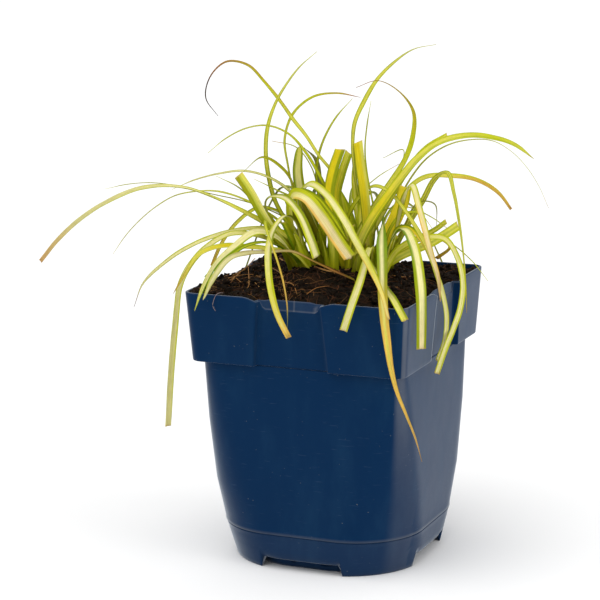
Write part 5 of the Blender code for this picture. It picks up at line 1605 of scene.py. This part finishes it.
@dataclass
class Compost:
    """Compost surface with crumbs, bark bits and roots; sizes in millimetres."""

    shell: PotShell
    crown_centre: tuple[float, float] = (3.0, 5.5)
    crown_half: float = 38.0
    crown_seat: float = 167.0
    at_right: float = 158.8
    at_left: float = 167.8
    in_dip: float = 160.6
    heap: float = 6.0
    front_heap: tuple[float, float] = (-19.0, -19.0)
    front_rise: float = 4.5
    lumps: tuple[tuple[float, float, float], ...] = (
        (9.0, 1.3, 1.0), (4.0, 0.9, 5.0), (1.9, 0.55, 9.0), (0.9, 0.25, 3.0))
    camera: Camera = field(default_factory=Camera)
    mound_reach: float = 66.0
    floor_below: float = 14.0
    above_all: float = 182.0
    rings: int = 74
    half: float = 67.5
    strand_step: float = 2.2
    strand_limit: float = 64.0
    crumb_count: int = 1500
    near_roots: int = 46
    far_roots: int = 60
    fibre_count: int = 620
    material: bpy.types.Material = field(default_factory=lambda: CompostFinish().material())

    def wall_level(self, x: Array, y: Array) -> Array:
        """Level against the wall: high on the left, low on the right and in the rim's dips.

        Args:
            x: places to the right.
            y: places to the back.

        Returns:
            One level per place.
        """
        full = np.maximum(ease((20.0 - x) / 60.0) * ease((y + 112.0) / 60.0), 0.75 * ease((y - 5.0) / 50.0))
        level = self.at_right + (self.at_left - self.at_right) * full
        beside, before = np.abs(y - 4.0) + 40.0 * (x < 0), np.abs(x + 2.5) + 40.0 * (y > 0)
        along = np.where(np.abs(x) > np.abs(y), beside, before)
        panel = ease((along - 17.0) / 9.0)
        low = np.minimum(level, self.in_dip - 3.2 * ease((x - 40.0) / 20.0))
        return low + (level - low) * panel

    def level(self, x: float, y: float, at_wall: float) -> float:
        """Level of the surface with its lumps.

        Args:
            x: place to the right.
            y: place to the back.
            at_wall: level at the wall beyond it.

        Returns:
            The level.
        """
        away = math.hypot(x - self.crown_centre[0], y - self.crown_centre[1])
        share = float(ease((away - self.crown_half) / (self.mound_reach - self.crown_half))) ** 1.8
        base = self.crown_seat + (at_wall - self.crown_seat) * share
        base += self.front_rise * float(ease(1 - math.dist((x, y), self.front_heap) / 24.0))
        dome = max(0.0, 1 - (away / 41.0) ** 2) * self.heap / 2
        rough = sum(height * noise.noise(Vector((x / wide, y / wide, layer)))
                    for wide, height, layer in self.lumps)
        return base + 2.0 * dome + rough * (0.55 + 0.45 * share)

    def outline(self) -> Array:
        """Ring just inside the pot's wall."""
        return self.shell.ring(self.shell.rim_half - 0.5, self.shell.rim_radius, 0.0, self.shell.recess_depth,
                               self.shell.recess_half_top + 0.6, inset=self.shell.wall + 0.05)

    def build(self) -> None:
        """Make the surface, its crumbs, bits and roots."""
        self.surface()
        self.crumbs()
        self.roots()
        self.bark()

    def surface(self) -> None:
        """Make the lumpy surface in rings that shrink from the wall to the crown, closed below."""
        rim = self.outline()
        walls = self.wall_level(rim[:, 0], rim[:, 1])
        centre = np.array(self.crown_centre)
        points = []
        for scale in 1 - np.arange(self.rings) / self.rings:
            for place, wall in zip(rim[:, :2], walls):
                x, y = centre + (place - centre) * scale
                points.append((x, y, self.level(x, y, wall)))
        count, top = len(rim), len(points)
        points.append((*centre, self.level(*centre, self.at_right)))
        points += [(x * 0.995, y * 0.995, self.at_right - self.floor_below) for x, y, _ in rim]
        last = top - count
        faces = [face for row in range(0, last, count) for face in band(row, row + count, count)]
        faces += [(last + i, last + (i + 1) % count, top) for i in range(count)]
        faces += band(top + 1, 0, count) + [tuple(top + 1 + i for i in reversed(range(count)))]
        piece = Piece("compost_surface")
        piece.add(np.array(points) * MM, faces)
        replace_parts(piece.make(self.material, "compost"), "compost")

    def ground(self, x: float, y: float) -> float:
        """Level of the surface at a place, without being told the wall's level.

        Args:
            x: place to the right.
            y: place to the back.

        Returns:
            The level.
        """
        scale = max(abs(x), abs(y), 1.0) / self.half
        wall = float(self.wall_level(np.array([x / scale]), np.array([y / scale]))[0])
        return self.level(x, y, wall)

    def seen_on_ground(self, u: float, v: float) -> Array:
        """Place on the surface that is seen at a point of the view, in millimetres.

        Args:
            u: point across the view.
            v: point down the view.

        Returns:
            The place.
        """
        place, right, up, back = (np.array(a) for a in self.camera.axes())
        focal, middle = self.camera.focal, self.camera.frame_side / 2
        ray = unit(right * (u - middle) / focal + up * (middle - v) / focal - back)
        start = place / MM
        at = start + ray * (self.above_all - start[2]) / ray[2]
        while at[2] > self.ground(at[0], at[1]):
            at = at + ray * 0.5
        return at

    def strand(self, rng: np.random.Generator, start: tuple[float, float], length: float,
               bend: float) -> Array:
        """Wandering route over the surface.

        Args:
            rng: chance.
            start: first place.
            length: length in millimetres.
            bend: how much it turns at each step, in radians.

        Returns:
            Points in millimetres.
        """
        heading = rng.uniform(0, 2 * math.pi)
        turn = rng.normal(0, bend)
        x, y = start
        steps = max(5, int(length / self.strand_step))
        hop = rng.uniform(0.0, 0.7)
        points = []
        for step in range(steps + 1):
            lift = 0.35 + hop * math.sin(math.pi * step / steps)
            points.append((x, y, self.ground(x, y) + lift))
            turn = 0.7 * turn + rng.normal(0, bend)
            heading += turn
            ahead = x + math.cos(heading) * self.strand_step, y + math.sin(heading) * self.strand_step
            if max(abs(ahead[0]), abs(ahead[1])) > self.strand_limit:
                heading += math.pi * 0.7
                ahead = x + math.cos(heading) * self.strand_step, y + math.sin(heading) * self.strand_step
            x, y = ahead
        return np.array(points)

    def roots(self) -> None:
        """Make the fine tan roots that lie on the compost, as one piece."""
        rng = np.random.default_rng(21)
        tubes = Tubes("surface_roots")
        tan, rust, dark = Tint.TAN.linear(), Tint.RUST.linear(), Tint.DARK_BROWN.linear()
        for trace, radius in ROOT_TRACES:
            route = np.array([self.seen_on_ground(u, v) for u, v in trace])
            route[:, 2] += 0.5
            route[1:-1, 2] += 0.8
            tubes.tube(route, radius, radius * 0.6, blend(tan, rust, rng.uniform(0.3, 0.7)))
        tubes.tube(np.array(RIM_ROOT), 0.22, 0.16, Tint.PALE_BLUE.linear() * 0.6)
        for _ in range(self.near_roots):
            x, y = rng.normal((-34, -28), (20, 20))
            if max(abs(x), abs(y)) > 62:
                continue
            route = self.strand(rng, (x, y), rng.uniform(12, 42), 0.24)
            radius = rng.uniform(0.07, 0.15)
            tubes.tube(route, radius, radius * 0.4, blend(rust, tan, rng.uniform(0.2, 0.8)) * 0.6)
        for _ in range(self.far_roots):
            route = self.strand(rng, rng.uniform(-60, 60, 2), rng.uniform(6, 20), 0.3)
            radius = rng.uniform(0.07, 0.16)
            tubes.tube(route, radius, radius * 0.4, blend(rust, dark, rng.uniform(0.3, 1.0)) * 0.6)
        tubes.make(FibreFinish("root_skin", Tint.RUST, Tint.TAN).material(), "compost")

    def bark(self) -> None:
        """Make the short bark and peat fibres on the compost, as one piece."""
        rng = np.random.default_rng(22)
        tubes = Tubes("bark_fibres", sides=4)
        rust, dark = Tint.RUST.linear(), Tint.DARK_BROWN.linear()
        for _ in range(self.fibre_count):
            route = self.strand(rng, rng.uniform(-62, 62, 2), rng.uniform(2.0, 7.0), 0.12)[:4]
            radius = rng.uniform(0.12, 0.42)
            tint = blend(dark, rust, rng.uniform(0, 0.6)) * rng.uniform(0.15, 0.6)
            tubes.tube(route, radius, radius * rng.uniform(0.3, 0.9), tint, flat=rng.uniform(0.3, 0.8))
        tubes.make(FibreFinish("bark_fibre", Tint.DARK_BROWN, Tint.BROWN).material(), "compost")

    def spot(self, rng: np.random.Generator) -> tuple[float, float, float]:
        """Chance place on the surface.

        Args:
            rng: chance.

        Returns:
            The place, with its level.
        """
        while True:
            x, y = rng.uniform(-66, 66, 2)
            near, far = sorted((abs(x), abs(y)))
            if far > 61 and (abs(x + 2.5) < 23 or abs(y - 4) < 23):
                continue
            if far < 66.5 and math.hypot(near - 60, far - 60) < 5.5 or near < 60:
                return x, y, self.ground(x, y)

    def crumbs(self) -> None:
        """Make the loose crumbs as one piece, each a twenty-sided lump."""
        rng = np.random.default_rng(5)
        shape = np.array(LUMP_CORNERS)
        piece = Piece("compost_crumbs")
        for _ in range(self.crumb_count):
            x, y, z = self.spot(rng)
            size = rng.uniform(0.3, 1.0) ** 2 * 1.7 + 0.25
            stretch = size * rng.uniform(0.6, 1.5, 3)
            turn = Matrix.Rotation(rng.uniform(0, 6.28), 3, Vector(rng.normal(size=3)).normalized())
            local = shape * stretch * rng.uniform(0.75, 1.2, (len(shape), 1))
            place = Vector((x, y, z + size * 0.3))
            piece.add(np.array([tuple(turn @ Vector(p) + place) for p in local]) * MM, LUMP_FACES)
        piece.make(self.material, "compost", smooth=False)


@dataclass
class Studio:
    """Pale floor and soft lights, in metres, radians and watts."""

    floor_half: float = 9.0
    world: float = 0.9
    sun_energy: float = 1.12
    sun_spread: float = math.radians(60.0)
    sun_turn: tuple[float, float, float] = (math.radians(24.0), math.radians(-16.0), 0.0)
    side_place: tuple[float, float, float] = (2.0, -0.3, 0.9)
    side_width: float = 1.2
    side_power: float = 12.0
    aim: tuple[float, float, float] = (0.0, 0.0, 0.15)
    floor_finish: FloorFinish = field(default_factory=FloorFinish)

    def build(self) -> None:
        """Make the floor, the surroundings and the lights."""
        half = self.floor_half
        places = ((-half, -half, 0), (half, -half, 0), (half, half, 0), (-half, half, 0))
        mesh = bpy.data.meshes.new("studio_floor")
        mesh.from_pydata(places, [], [(0, 1, 2, 3)])
        mesh.materials.append(self.floor_finish.material())
        put("studio_floor", mesh)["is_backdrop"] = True
        world = bpy.data.worlds.new("soft_surroundings")
        world.use_nodes = True
        sky = world.node_tree.nodes["Background"].inputs
        sky["Color"].default_value = (1.0, 1.0, 1.0, 1.0)
        sky["Strength"].default_value = self.world
        bpy.context.scene.world = world
        sun = bpy.data.lights.new("overhead", "SUN")
        sun.energy = self.sun_energy
        sun.angle = self.sun_spread
        put("overhead", sun).rotation_euler = self.sun_turn
        side = bpy.data.lights.new("side", "AREA")
        side.shape = "SQUARE"
        side.size = self.side_width
        side.energy = self.side_power
        lamp = put("side", side)
        lamp.location = self.side_place
        aim = Vector(self.aim) - Vector(self.side_place)
        lamp.rotation_euler = aim.to_track_quat("-Z", "Y").to_euler()


def corners(box: tuple[Vector, Vector]) -> list[list[float]]:
    """Box as plain lists of numbers."""
    return [list(map(float, corner)) for corner in box]


def main() -> None:
    """Dress the plant and its pot, and set up the studio."""
    logging.basicConfig(level=logging.INFO, format="%(name)s %(message)s")
    camera = Camera()
    camera.build()
    view_right, view_back = np.array(camera.axes()[1]), np.array(camera.axes()[3])
    Studio().build()
    shell = PotShell()
    shell.build()
    Compost(shell).build()
    Foliage(view_right, -view_back, Vector((0.003, 0.0055, 0.168))).build()
    bpy.context.scene.view_settings.view_transform = "Standard"
    {"cad": corners(CAD_BOX), "visual": corners(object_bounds())}


if __name__ == "__main__":
    main()
